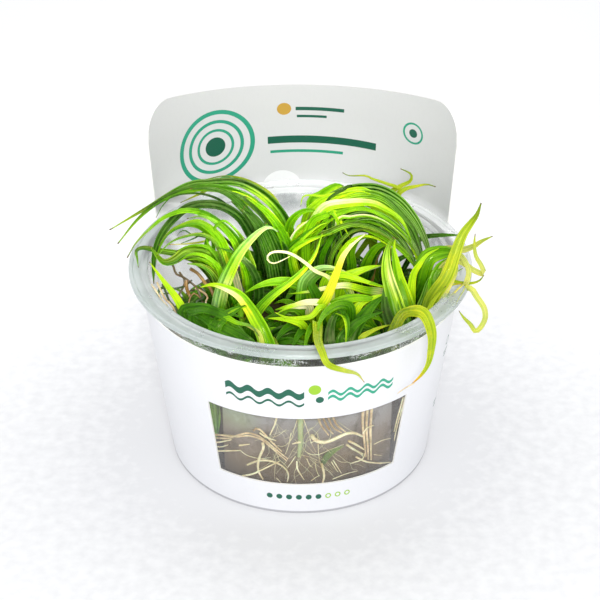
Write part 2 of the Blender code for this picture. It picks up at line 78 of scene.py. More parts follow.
# Card sleeve, one sheet with a window in front and a header behind
CARD = 0.5
CARD_GAP = 0.4
SLEEVE_TOP = 54.0
WINDOW_BOTTOM = 11.1
WINDOW_TOP = 36.0
WINDOW_CENTRE = 3.4
WINDOW_HALF_ANGLE = 38.2
WINDOW_TOP_SPREAD = 1.4
HEADER_CENTRE = 178.7
HEADER_HALF_ANGLE = 62.0
HEADER_TOP = 90.5
HEADER_SHOULDER_RISE = 3.5
HEADER_SHOULDER_ANGLE = 50.0
HEADER_CORNER = 10.0
HEADER_BEND_START = 36.0
HEADER_BLEND_ANGLE = 24.0
HEADER_FLARE = 1.2
CARD_RIM_ROW = 58.4
HEADER_RIM_RADIUS = 48.5
HEADER_TOP_RADIUS = 50.6
HEADER_ROWS = 16
PRINT_RADIUS = 44.0
RIPPLE_RISE = 0.8
DOT_STEP = 3.1
DOT_HEIGHT = 6.3
DOT_RADIUS = 0.95

# Gel that the plants grow in; its colours lie at shares of the way between two heights in metres
GEL_TOP = 37.0
GEL_WALL_GAP = 2.6
GEL_FLOOR_GAP = 0.3
GEL_EDGE_RISE = 0.6
GEL_RINGS = 14
GEL_STEPS = 96
GEL_COLOUR_HEIGHTS = (0.004, 0.0385)
# The top stops are dark brown: partly roots on the gel, partly painted shade under the leaves.
GEL_COLOURS = [(0.0, (0.13, 0.09, 0.05)), (0.35, (0.195, 0.145, 0.09)), (0.6, (0.26, 0.218, 0.18)),
               (0.85, (0.32, 0.305, 0.295)), (0.94, (0.14, 0.105, 0.055)), (1.0, (0.15, 0.11, 0.05))]
GEL_WISP_TINT = (0.45, 0.42, 0.36)
GEL_GREEN_TINT = (0.95, 1.2, 0.7)
GEL_WINDOW_EDGE_SHADE = (0.16, 0.12, 0.07)

# Leaves
LEAF_THICKNESS = 0.26
LEAF_ROW = 1.1
LEAF_KEEL = 0.22
LEAF_TAPER = 2.4
LEAF_BASE_WIDTH = 0.6
LEAF_FULL_AT = 0.35
LEAF_TIP_WIDTH = 0.06
LEAF_WAVE = 0.16
LEAF_SPLITS = 6
PLEAT_DEPTH = 0.11
PLEAT_SPLITS = 4
FACE_BASE = (0.0, -1.0, 0.15)
FACE_TIP = (0.0, -0.45, 0.9)

# Crowns, short leaves round each stem: their sizes and finishes, and their arch in shares of the reach
# and the height
CROWN_ROW = 2.2
CROWN_SPLITS = 4
CROWN_FOOT = 2.3
CROWN_REACH = (6.0, 17.0)
CROWN_HEIGHT = (0.45, 1.0)
CROWN_WIDTH = (2.8, 4.6)
CROWN_ARCH = ((0.12, 0.55), (0.42, 0.96), (0.75, 0.98), (1.0, 0.72))
# Mostly dark finishes, so that the space under the long leaves reads as shade: painted shade on real short
# leaves.
CROWN_FINISHES = ("deep", "mid_green", "green", "brown_base", "mid_green")
CROWN_MIX = (0, 0, 1, 1, 2, 2, 3, 4)
CROWN_WALL_GAP = 2.5

# Leaf colours
DEEP = (0.012, 0.062, 0.002)
MID_GREEN = (0.026, 0.115, 0.003)
GREEN = (0.052, 0.205, 0.002)
BRIGHT = (0.160, 0.420, 0.003)
LIME = (0.370, 0.680, 0.008)
YELLOW = (0.760, 0.800, 0.030)
PALE = (0.640, 0.780, 0.240)
OLIVE = (0.120, 0.200, 0.006)
OLIVE_LIME = (0.320, 0.430, 0.016)
MINT = (0.360, 0.600, 0.200)
CREAM = (0.820, 0.840, 0.420)
FADED = (0.520, 0.570, 0.130)
ORANGE = (0.600, 0.270, 0.030)
BROWN = (0.150, 0.080, 0.030)
GREY_GREEN = (0.210, 0.340, 0.090)

# Leaf finishes: colours at shares of the length, those of the other half of the blade where it differs,
# and how dark the ribs are. Where one half is brighter, that is mostly painted light on the lit half of a
# folded blade and painted shade on the other, partly the leaf's own two-tone colour
LEAF_FINISHES = {
    "deep": ([(0.0, DEEP), (0.7, DEEP), (1.0, GREEN)], None, 1.0),
    # The bright and lime stops from 0.3 to 0.42 are a painted highlight where the arch catches the light.
    "arch_dark": ([(0.0, GREEN), (0.3, BRIGHT), (0.42, LIME), (0.5, GREEN), (0.72, DEEP), (0.86, OLIVE),
                   (1.0, LIME)],
                  [(0.0, GREEN), (0.3, GREEN), (0.5, DEEP), (0.72, GREEN), (0.86, OLIVE), (1.0, LIME)],
                  1.0),
    # The yellow and lime stops from 0.2 to 0.55 are partly a painted highlight on the lit flank of the
    # arch.
    "arch_bright": ([(0.0, GREEN), (0.2, BRIGHT), (0.3, YELLOW), (0.38, LIME), (0.55, BRIGHT),
                     (0.8, GREEN), (1.0, LIME)],
                    [(0.0, GREEN), (0.3, BRIGHT), (0.5, GREEN), (0.8, DEEP), (1.0, BRIGHT)], 1.0),
    "green": ([(0.0, DEEP), (0.4, GREEN), (1.0, BRIGHT)], None, 1.0),
    "green_ribbed": ([(0.0, DEEP), (0.4, MID_GREEN), (1.0, MID_GREEN)], None, 1.0),
    "mid_green": ([(0.0, DEEP), (0.4, MID_GREEN), (1.0, GREEN)], None, 1.0),
    "dull_olive": ([(0.0, (0.13, 0.19, 0.06)), (1.0, (0.17, 0.23, 0.08))], None, 0.3),
    # The pale stop in the middle of the other half is a painted highlight.
    "bright_ribbed": ([(0.0, DEEP), (0.3, GREEN), (0.55, BRIGHT), (0.8, LIME), (1.0, BRIGHT)],
                      [(0.0, DEEP), (0.3, GREEN), (0.5, LIME), (0.68, PALE), (0.85, LIME), (1.0, GREEN)],
                      0.9),
    "green_folded": ([(0.0, DEEP), (0.4, GREEN), (1.0, GREEN)],
                     [(0.0, GREEN), (0.5, BRIGHT), (1.0, LIME)], 1.0),
    "grey_ribbed": ([(0.0, DEEP), (0.4, MID_GREEN), (0.7, GREEN), (1.0, MID_GREEN)], None, 1.0),
    "lime_dark_end": ([(0.0, DEEP), (0.3, GREEN), (0.42, LIME), (0.6, LIME), (0.72, GREEN), (1.0, DEEP)],
                      [(0.0, DEEP), (0.3, BRIGHT), (0.5, LIME), (0.66, BRIGHT), (0.8, GREEN),
                       (1.0, GREEN)], 1.0),
    "bright": ([(0.0, GREEN), (0.35, BRIGHT), (1.0, BRIGHT)], None, 0.8),
    "bright_pale_tip": ([(0.0, GREEN), (0.35, BRIGHT), (0.75, BRIGHT), (1.0, GREY_GREEN)],
                        [(0.0, GREEN), (0.5, GREEN), (0.8, BRIGHT), (1.0, GREY_GREEN)], 1.0),
    "lime": ([(0.0, GREEN), (0.3, BRIGHT), (0.6, LIME), (1.0, LIME)], None, 0.5),
    "lime_folded": ([(0.0, DEEP), (0.35, GREEN), (0.6, BRIGHT), (1.0, BRIGHT)],
                    [(0.0, DEEP), (0.35, GREEN), (0.55, LIME), (1.0, LIME)], 0.8),
    "lime_streaked": ([(0.0, BRIGHT), (0.4, LIME), (0.6, CREAM), (0.8, LIME), (1.0, BRIGHT)],
                      [(0.0, BRIGHT), (0.5, LIME), (1.0, BRIGHT)], 0.5),
    "olive": ([(0.0, GREEN), (0.4, OLIVE), (0.8, GREEN), (1.0, BRIGHT)],
              [(0.0, GREEN), (0.5, BRIGHT), (0.8, OLIVE), (1.0, BRIGHT)], 1.0),
    "olive_lime": ([(0.0, GREEN), (0.35, OLIVE), (0.66, OLIVE_LIME), (0.9, OLIVE_LIME), (1.0, OLIVE)],
                   None, 0.5),
    "two_tone": ([(0.0, GREEN), (0.35, BRIGHT), (0.52, LIME), (0.64, YELLOW), (0.8, CREAM), (0.9, LIME),
                  (1.0, LIME)],
                 [(0.0, GREEN), (0.4, BRIGHT), (0.7, BRIGHT), (1.0, LIME)], 0.6),
    "yellow_middle": ([(0.0, BRIGHT), (0.35, LIME), (0.5, YELLOW), (0.7, YELLOW), (1.0, CREAM)],
                      None, 0.2),
    "yellow_end": ([(0.0, GREEN), (0.3, OLIVE), (0.6, OLIVE_LIME), (0.92, OLIVE_LIME), (1.0, ORANGE)],
                   None, 0.4),
    "pale_olive": ([(0.0, BRIGHT), (0.3, LIME), (0.5, OLIVE_LIME), (0.8, OLIVE_LIME), (0.95, FADED),
                    (1.0, ORANGE)], None, 0.4),
    "banded": ([(0.0, BRIGHT), (0.2, LIME), (0.3, YELLOW), (0.42, PALE), (0.5, BRIGHT), (0.62, LIME),
                (0.7, CREAM), (0.84, PALE), (0.92, LIME), (1.0, BRIGHT)], None, 0.5),
    "cream_middle": ([(0.0, GREEN), (0.3, LIME), (0.5, CREAM), (0.7, CREAM), (0.85, LIME),
                      (1.0, BRIGHT)], None, 0.35),
    "cream_base": ([(0.0, CREAM), (0.3, CREAM), (0.42, YELLOW), (0.52, BRIGHT), (0.8, GREEN),
                    (1.0, GREEN)],
                   [(0.0, CREAM), (0.3, CREAM), (0.45, BRIGHT), (1.0, OLIVE)], 0.5),
    # The mint and pale end is partly a painted highlight.
    "grey_pale": ([(0.0, GREEN), (0.4, BRIGHT), (0.8, MINT), (1.0, PALE)],
                  [(0.0, DEEP), (0.4, GREEN), (1.0, GREY_GREEN)], 0.9),
    "pale_striped": ([(0.0, GREEN), (0.4, MINT), (0.7, CREAM), (1.0, LIME)],
                     [(0.0, GREEN), (0.4, BRIGHT), (1.0, BRIGHT)], 0.9),
    # The pale stop in the other half is a painted highlight streak.
    "mint": ([(0.0, MINT), (0.3, MINT), (0.6, BRIGHT), (1.0, MINT)],
             [(0.0, GREEN), (0.3, BRIGHT), (0.45, PALE), (0.55, LIME), (1.0, MINT)], 1.0),
    "cream": ([(0.0, LIME), (0.4, PALE), (0.8, CREAM), (1.0, CREAM)], None, 0.2),
    "faded": ([(0.0, OLIVE_LIME), (0.5, FADED), (0.8, FADED), (1.0, OLIVE_LIME)], None, 0.4),
    "pale_yellow": ([(0.0, BRIGHT), (0.4, OLIVE_LIME), (1.0, FADED)], None, 0.4),
    "brown_base": ([(0.0, BROWN), (0.3, ORANGE), (0.45, OLIVE_LIME), (1.0, OLIVE)], None, 0.5),
}

# What a ridge's crest adds to the colour, partly its pale vein and partly painted light, and the finishes
# that have ridges, with painted shade in the hollows between them: how many, how strong
RIDGE_CREST_PAINTED_LIGHT = (0.25, 0.33, 0.11)
RIDGES = {"green_ribbed": (4, 0.2), "grey_ribbed": (4, 0.8), "lime_dark_end": (3, 0.5),
          "bright_ribbed": (3, 0.5), "deep": (2, 0.15), "arch_dark": (2, 0.3), "olive": (3, 0.4)}

# Card and ink colours
CARD_WHITE = (0.75, 0.755, 0.78)
# The card's inside is whiter than its outside, so that it reads white in the cup's shade: painted light.
CARD_INSIDE_PAINTED_LIGHT = (0.96, 0.965, 0.97)
CARD_CORE = (0.84, 0.83, 0.80)
CARD_FOOT_PAINTED_SHADOW = (0.34, 0.34, 0.36)
HEADER_GROUND = (0.665, 0.665, 0.655)
# The paler ground at the header's foot is painted light.
HEADER_FOOT_PAINTED_LIGHT = (0.75, 0.755, 0.76)
GREEN_INK = (0.012, 0.115, 0.070)
TEAL_INK = (0.030, 0.340, 0.210)
LIME_INK = (0.300, 0.530, 0.030)
AMBER_INK = (0.560, 0.330, 0.050)

# Colours of roots and dead strands, at their palest and at their darkest
ROOT_FINISHES = {
    "root": ((0.84, 0.70, 0.42), (0.26, 0.15, 0.05)),
    "pale_root": ((0.95, 0.90, 0.60), (0.46, 0.36, 0.14)),
    "dark_strand": ((0.06, 0.13, 0.02), (0.02, 0.04, 0.01)),
    "brown_strand": ((0.15, 0.11, 0.035), (0.06, 0.04, 0.012)),
    "rust_strand": ((0.42, 0.25, 0.05), (0.18, 0.09, 0.02)),
    "runner": ((0.46, 0.52, 0.26), (0.28, 0.34, 0.13)),
}

# How many leaves stand in each stem's crown, and how tall the tallest are
CROWNS = {"back_stem": (14, 11.0), "back_right_stem": (16, 12.0), "far_right_stem": (7, 12.0),
          "left_stem": (20, 13.0), "front_left_stem": (26, 13.0), "front_stem": (26, 14.0),
          "front_right_stem": (26, 13.0), "right_stem": (18, 14.0)}

# Drops on the wall: how many in a degree, their size, the band they lie in, where they crowd together
# (middle and reach in degrees), and the stretches of wall whose drops are one piece each
WALL_DROPS = 34
DROP_RADIUS = (0.07, 0.17)
DROPS_TOP = 57.6
DROPS_BAND = 4.4
DROP_CLUSTERS = [(-42.0, 22.0), (-3.0, 14.0), (40.0, 14.0)]
DROP_STRETCHES = [(start, start + 16.0) for start in range(-96, 96, 16)]

# Air, floor and the distances in metres between which the floor's painted shade near the cup fades
# into white
WORLD_COLOUR = (0.975, 0.985, 1.0)
WORLD_STRENGTH = 1.0
FLOOR_SIZE = 6000.0
FLOOR_NEAR_PAINTED_SHADE = (0.725, 0.725, 0.735)
FLOOR_FAR = (0.99, 0.99, 0.99)
FLOOR_PAINTED_SHADE_FADE = (0.052, 0.12)

# Soft boxes: name, place, the point it looks at, width of its square, watts and spread in degrees
LIGHTS = [
    ("key_light", (10.0, -470.0, 350.0), (0.0, 5.0, 55.0), 130.0, 0.074, 30.0),
    ("left_spot", (200.0, -300.0, 380.0), (-27.0, 22.0, 48.0), 25.0, 0.0045, 5.0),
    ("back_spot", (-60.0, -330.0, 430.0), (14.0, 32.0, 50.0), 25.0, 0.0016, 5.0),
]

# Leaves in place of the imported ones: name, width, finish, and route from base to tip
LEAVES = [
    ("back_leaf_1", 3.4, "arch_dark",
     [(-2, 17.5, 38), (-3, 17, 49), (-3.5, 18, 59.5), (-8.5, 19, 68), (-17, 20, 73.5), (-26, 19.5, 74),
      (-33, 18, 73.5), (-44, 13, 69), (-54, 8, 65)]),
    ("back_leaf_2", 4.0, "arch_bright",
     [(-5, 14.5, 38), (-5, 14, 51), (-5.5, 14.5, 59.5), (-10, 15, 66), (-16, 15.5, 71.5),
      (-23.5, 15, 74.5), (-31, 13.5, 75), (-39, 11, 73), (-45.5, 7.5, 69), (-51.5, 4.5, 62.5)]),
    ("back_leaf_3", 3.8, "green_ribbed",
     [(-8, 14.5, 38), (-9, 12, 50), (-11.5, 12, 58.5), (-13, 12.5, 64.5), (-16.5, 12.5, 70),
      (-20.5, 12.5, 74), (-25.5, 12, 76), (-31, 11, 76.5)]),
    ("back_leaf_4", 2.5, "deep",
     [(-9.5, 17.5, 38), (-12, 14.5, 45), (-12, 11, 56), (-14.5, 10, 63), (-17.5, 9.5, 68.5),
      (-22, 9, 72), (-27, 8.5, 73), (-31.5, 7.5, 72.5), (-35.5, 6.5, 69.5), (-39, 4.5, 65.5),
      (-41, 3, 60.5), (-41.5, 1.5, 55.5), (-41.5, 0, 52)]),
    ("back_leaf_5", 1.3, "brown_base",
     [(-3, 19.5, 38), (-1, 20.5, 48), (-2, 21, 55.5), (-5, 22, 62.5), (-8, 22.5, 68),
      (-12.5, 23, 71.5), (-17.5, 23.5, 73.5), (-22.5, 23.5, 74), (-28, 23, 73)]),
    ("back_leaf_6", 2.2, "olive_lime",
     [(-6.6, 19.9, 38), (-11.5, 21.5, 49), (-16, 22.5, 64.2), (-21, 22.5, 70.4), (-25, 21.8, 71.2),
      (-29.5, 20.6, 69.5), (-34.5, 18.5, 68)]),
    ("left_leaf_1", 3.3, "bright_pale_tip",
     [(-16, 3.5, 38), (-14.5, 4, 49), (-15.5, 4, 57), (-17.5, 4.5, 62.5), (-21.5, 5, 67.5),
      (-26.5, 4.5, 72), (-32, 3, 74), (-37.5, 1, 73), (-42, -1, 70), (-45.5, -3, 67), (-48, -4, 63)]),
    ("left_leaf_2", 3.2, "cream_base",
     [(-16.5, -0.5, 38), (-18.5, 1, 51), (-20, 0, 59), (-22, 0.5, 65.5), (-25, 0.5, 69.5),
      (-28.5, 0, 72), (-32.5, -1, 71.5), (-36, -3, 70.5), (-39, -5, 67.5)]),
    ("left_leaf_3", 1.5, "olive",
     [(-19.4, -1.5, 38), (-20.5, -2, 53), (-21.5, -3, 61), (-23.5, -3.5, 67.5), (-27, -4, 70.5),
      (-32, -4.5, 70), (-36, -5.5, 68.5), (-39.5, -6.5, 65)]),
    ("left_leaf_4", 4.4, "mint",
     [(-22.4, -1, 38), (-23.5, -7, 44.5), (-22, -8, 54), (-19.5, -7, 60.5), (-16.5, -6, 66),
      (-12.5, -4, 70), (-9, -2, 71.5), (-6, -1, 69.5)]),
    ("left_leaf_5", 2.6, "olive",
     [(-20.5, 4.5, 38), (-25.5, 9, 48.5), (-30, 8, 55), (-35, 6.5, 58), (-40.5, 5, 60), (-44, 4, 61.5),
      (-46, 1.5, 62), (-45.5, -2, 61.5), (-45, -5, 60.5)]),
    ("left_leaf_6", 6.0, "olive",
     [(-22.5, 2, 38), (-21, 2.5, 50.5), (-22, 2.5, 56), (-25, 2, 59.5), (-28, 1.5, 61.5),
      (-32, 0.5, 62), (-35.5, -0.5, 60), (-38.5, -2, 60.5), (-41.5, -3, 66)]),
    ("front_left_leaf_1", 4.8, "two_tone",
     [(-10.2, -22.8, 38), (-8, -29, 46), (-10, -27, 53), (-12, -24.5, 56), (-14, -21, 57.5),
      (-16.5, -19, 60), (-20, -17, 61), (-24, -15, 61), (-27.5, -14, 59.5)]),
    ("front_left_leaf_2", 4.6, "mid_green",
     [(-13.4, -24.3, 38), (-13, -32, 51), (-16.5, -31, 54.5), (-23, -27, 56), (-27.5, -23, 56.5),
      (-31, -19, 55.5)]),
    ("front_left_leaf_3", 3.2, "lime",
     [(-17, -20.4, 38), (-24, -18, 40.5), (-29, -15, 43), (-32, -12, 49.5), (-34.5, -9, 53),
      (-38, -6, 56.5), (-42, -3, 61)]),
    ("front_left_leaf_4", 3.6, "lime_folded",
     [(-11.2, -18, 38), (-15, -19, 47.5), (-11.5, -17, 54), (-7.5, -15.5, 58), (-3, -14, 61),
      (1, -12, 64), (4, -9, 67), (6, -5, 71.5)]),
    ("front_leaf_1", 3.2, "yellow_middle",
     [(6.8, -14.7, 42), (5.5, -17, 54), (7, -18, 58.5), (8.5, -18.5, 63), (10, -18.5, 68),
      (11.5, -18, 72), (14, -17, 75), (17.5, -15, 77)]),
    ("front_leaf_2", 2.8, "pale_olive",
     [(4, -14.2, 40), (4.5, -27, 56.5), (4.5, -35, 60), (4.5, -43, 61.5), (5.5, -49, 62),
      (7, -51, 59.5), (11, -50, 57), (14.5, -48, 54.5), (16.5, -46, 50.5)]),
    ("front_leaf_3", 2.6, "banded",
     [(23.8, -11.2, 38), (26, -4, 47), (23.5, -6, 52.5), (18, -9, 55.5), (12.5, -10.5, 58),
      (7.5, -11, 57.5), (1.5, -11.5, 56.5), (-3.5, -11, 55.5)]),
    ("front_leaf_4", 3.0, "cream_middle",
     [(2.8, -10.8, 42), (2.4, -14, 53), (-0.5, -15.5, 54.5), (-3.5, -16, 54.5), (-7, -16, 53.5)]),
    ("front_leaf_5", 3.0, "lime",
     [(2.4, -13, 38.5), (1.4, -18, 45), (0.8, -21, 51.5), (-2, -22, 53.8), (-5.5, -22, 54.5),
      (-9, -21, 54)]),
    ("front_leaf_6", 3.0, "green_folded",
     [(9.2, -13, 40), (9.6, -19, 51.5), (10.4, -22.5, 56.4), (12, -25, 57), (12.5, -29, 56),
      (12, -34, 54.5)]),
    ("front_leaf_7", 4.0, "bright",
     [(4.4, -8.8, 41), (1.5, -7, 53.5), (-1, -7.5, 56.5), (-6, -8.5, 58), (-11, -9.5, 57.5),
      (-15.5, -10.5, 55.5)]),
    ("front_right_leaf_1", 5.4, "bright_ribbed",
     [(26.5, -17, 38), (27.5, -18.5, 49), (26, -15, 55), (24, -12, 61), (23.5, -9, 64.5), (24, -7, 68),
      (25.5, -5.5, 70.5)]),
    ("front_right_leaf_2", 4.6, "lime_folded",
     [(28, -15, 38), (30.5, -15, 48), (29, -13, 55), (27, -10.5, 60.5), (26, -8.5, 65), (25.5, -7, 68),
      (26, -6, 70.5)]),
    ("front_right_leaf_3", 3.0, "lime",
     [(27, -12, 38), (30.5, -11.5, 45.5), (30.5, -11.5, 53), (30.5, -11.5, 57.5), (31, -11, 62),
      (32.5, -11, 65), (34.5, -10, 67.5), (38, -8, 68.5)]),
    ("front_right_leaf_4", 3.4, "yellow_end",
     [(23.5, -17.5, 38), (22.5, -26, 46.5), (24.5, -29, 55), (26.5, -31.5, 62), (29, -33.5, 64.5),
      (31.5, -36, 65.5), (33, -38, 64), (34, -38.5, 60), (34, -38, 55), (33.5, -37.5, 50.5),
      (32, -37.5, 47), (29.5, -38.5, 44.5)]),
    ("front_right_leaf_5", 5.2, "mid_green",
     [(20.6, -14.8, 38.4), (17.5, -19.8, 41.5), (13.5, -25, 46), (14.5, -22.5, 51), (18, -19, 54.5),
      (21, -15.5, 56), (24, -12.5, 56.5)]),
    ("right_leaf_1", 3.8, "olive_lime",
     [(30.5, -7, 38), (33, -14, 42), (34, -18, 49.5), (35, -19, 57.5), (36.5, -19.5, 61.5),
      (38.5, -19, 64.5), (40, -17.5, 67), (41.5, -15, 70.5), (43.5, -12.5, 75), (46, -10.5, 78),
      (47.5, -9, 79.5), (48.5, -8, 82.5)]),
    ("right_leaf_2", 5.2, "green",
     [(28, -2.4, 38), (31, -2, 47), (33, -5.4, 55), (34, -5, 60), (35.5, -4, 63), (38, -3.5, 64),
      (41, -3, 64), (44.5, -2.5, 62.5)]),
    ("right_leaf_3", 3.8, "green",
     [(34.8, -5, 38), (36.2, -10, 44), (36, -14.3, 51.5), (37.6, -13.8, 56), (39.3, -12, 60),
      (41, -9.4, 62.6), (42.6, -7, 64)]),
    ("right_leaf_4", 2.2, "faded",
     [(32, -1.6, 38), (35, 3.5, 54), (38.5, 3.5, 60), (41.5, 2.5, 62), (45, 1, 62.5), (48, -0.5, 64.5),
      (50.5, -1.5, 67), (53, -2.5, 69)]),
    ("right_leaf_5", 1.7, "faded",
     [(34.4, -2.4, 38), (36.8, -6, 48), (37, -9.5, 58), (39.5, -10.6, 64.8), (43.5, -10.8, 65.8),
      (47, -11.4, 63.6), (50, -12.8, 63), (49, -13, 66), (47.5, -12.5, 68.5), (47, -11.5, 71.5),
      (47, -11.5, 75)]),
    ("right_leaf_6", 1.9, "faded",
     [(33.5, -7, 38), (36, -13.5, 44), (37.5, -17, 51), (38, -16.5, 58), (38, -15.5, 62),
      (39, -14.5, 65.5), (41, -12, 68), (43, -11.5, 68.5), (44.5, -13.5, 67.5), (45.5, -15.5, 65.5),
      (45, -16.5, 63), (44.5, -18, 62), (46, -19.5, 62.5), (47.5, -20.5, 60.5), (49.5, -21, 57.5),
      (50, -21.5, 54.5), (49, -21.5, 51.5), (47.5, -22, 50.5), (46, -22.5, 53), (44, -23, 55.5),
      (42.5, -23.5, 58)]),
    ("far_right_leaf_1", 1.5, "deep",
     [(25.2, 12.8, 38), (31, 11.5, 52.5), (34, 10.6, 60.2), (38, 9.6, 62.2), (45.5, 7.6, 63.6)]),
    ("far_right_leaf_2", 2.8, "olive_lime",
     [(22.5, 17.5, 38), (21, 20.5, 62), (24, 21, 68), (26.5, 21, 70.5), (29.5, 21, 72.5),
      (31.5, 20.5, 74), (31.5, 20, 76.5), (28.5, 19.5, 78.5)]),
    ("far_right_leaf_3", 2.8, "olive_lime",
     [(26, 16, 38), (25.5, 17.5, 50), (25, 18.5, 63), (27.5, 18.5, 70), (30, 18.5, 72.5),
      (32.5, 18, 73.5), (36, 17.5, 74.5), (38.5, 17, 74)]),
    ("back_right_leaf_1", 5.0, "grey_ribbed",
     [(5, 20, 38), (2, 22, 50.5), (5, 22.5, 62), (10.5, 22, 67.5), (16, 20.5, 70.5), (22, 18, 72),
      (27.5, 14, 71), (32, 10, 67.5), (35, 6.5, 63), (36.5, 3.5, 59), (37, 1.5, 54.5)]),
    ("back_right_leaf_2", 4.2, "lime_dark_end",
     [(2.5, 19.5, 38), (1, 20, 49.5), (5, 20, 61), (9.5, 19.5, 67), (15, 18, 70.5), (20.5, 15.5, 71.5),
      (26, 11.5, 70), (30, 7.5, 66.5), (32.5, 4, 62.5), (34, 1.5, 58.5), (34, 0, 54.5)]),
    ("back_right_leaf_3", 4.0, "lime",
     [(2, 17, 38), (1.8, 17.8, 51), (5, 17.5, 61.5), (10, 16.5, 68), (14.5, 15, 71), (19.5, 13, 71.2),
      (24.5, 10, 69), (28.5, 6.5, 65.5), (32, 3, 61), (34, 0.5, 55.5)]),
    ("back_right_leaf_4", 4.6, "grey_ribbed",
     [(3, 14.6, 38), (1, 15, 51.5), (4.5, 14.5, 60.5), (9, 14, 66.5), (14, 12, 69), (19, 10, 69),
      (24, 7, 67), (28, 3.5, 64.5), (31.5, 0.5, 60), (33.5, -1.5, 55)]),
    ("back_right_leaf_5", 3.0, "bright",
     [(6, 14.2, 38), (2, 12, 51), (5, 11.3, 58.3), (9.5, 10, 64), (14, 8.8, 66.7), (19, 6.4, 66.3),
      (24, 3.3, 64.8), (28, 0.4, 62.9), (31.5, -2.4, 59.8), (33.5, -4.2, 56.3)]),
    ("back_right_leaf_6", 3.5, "lime_folded",
     [(8, 19.5, 38), (7, 24, 50), (3.5, 25, 63.5), (6, 25.5, 66), (8.5, 25.5, 68), (10.5, 25.5, 69.5),
      (12.5, 25, 70)]),
]

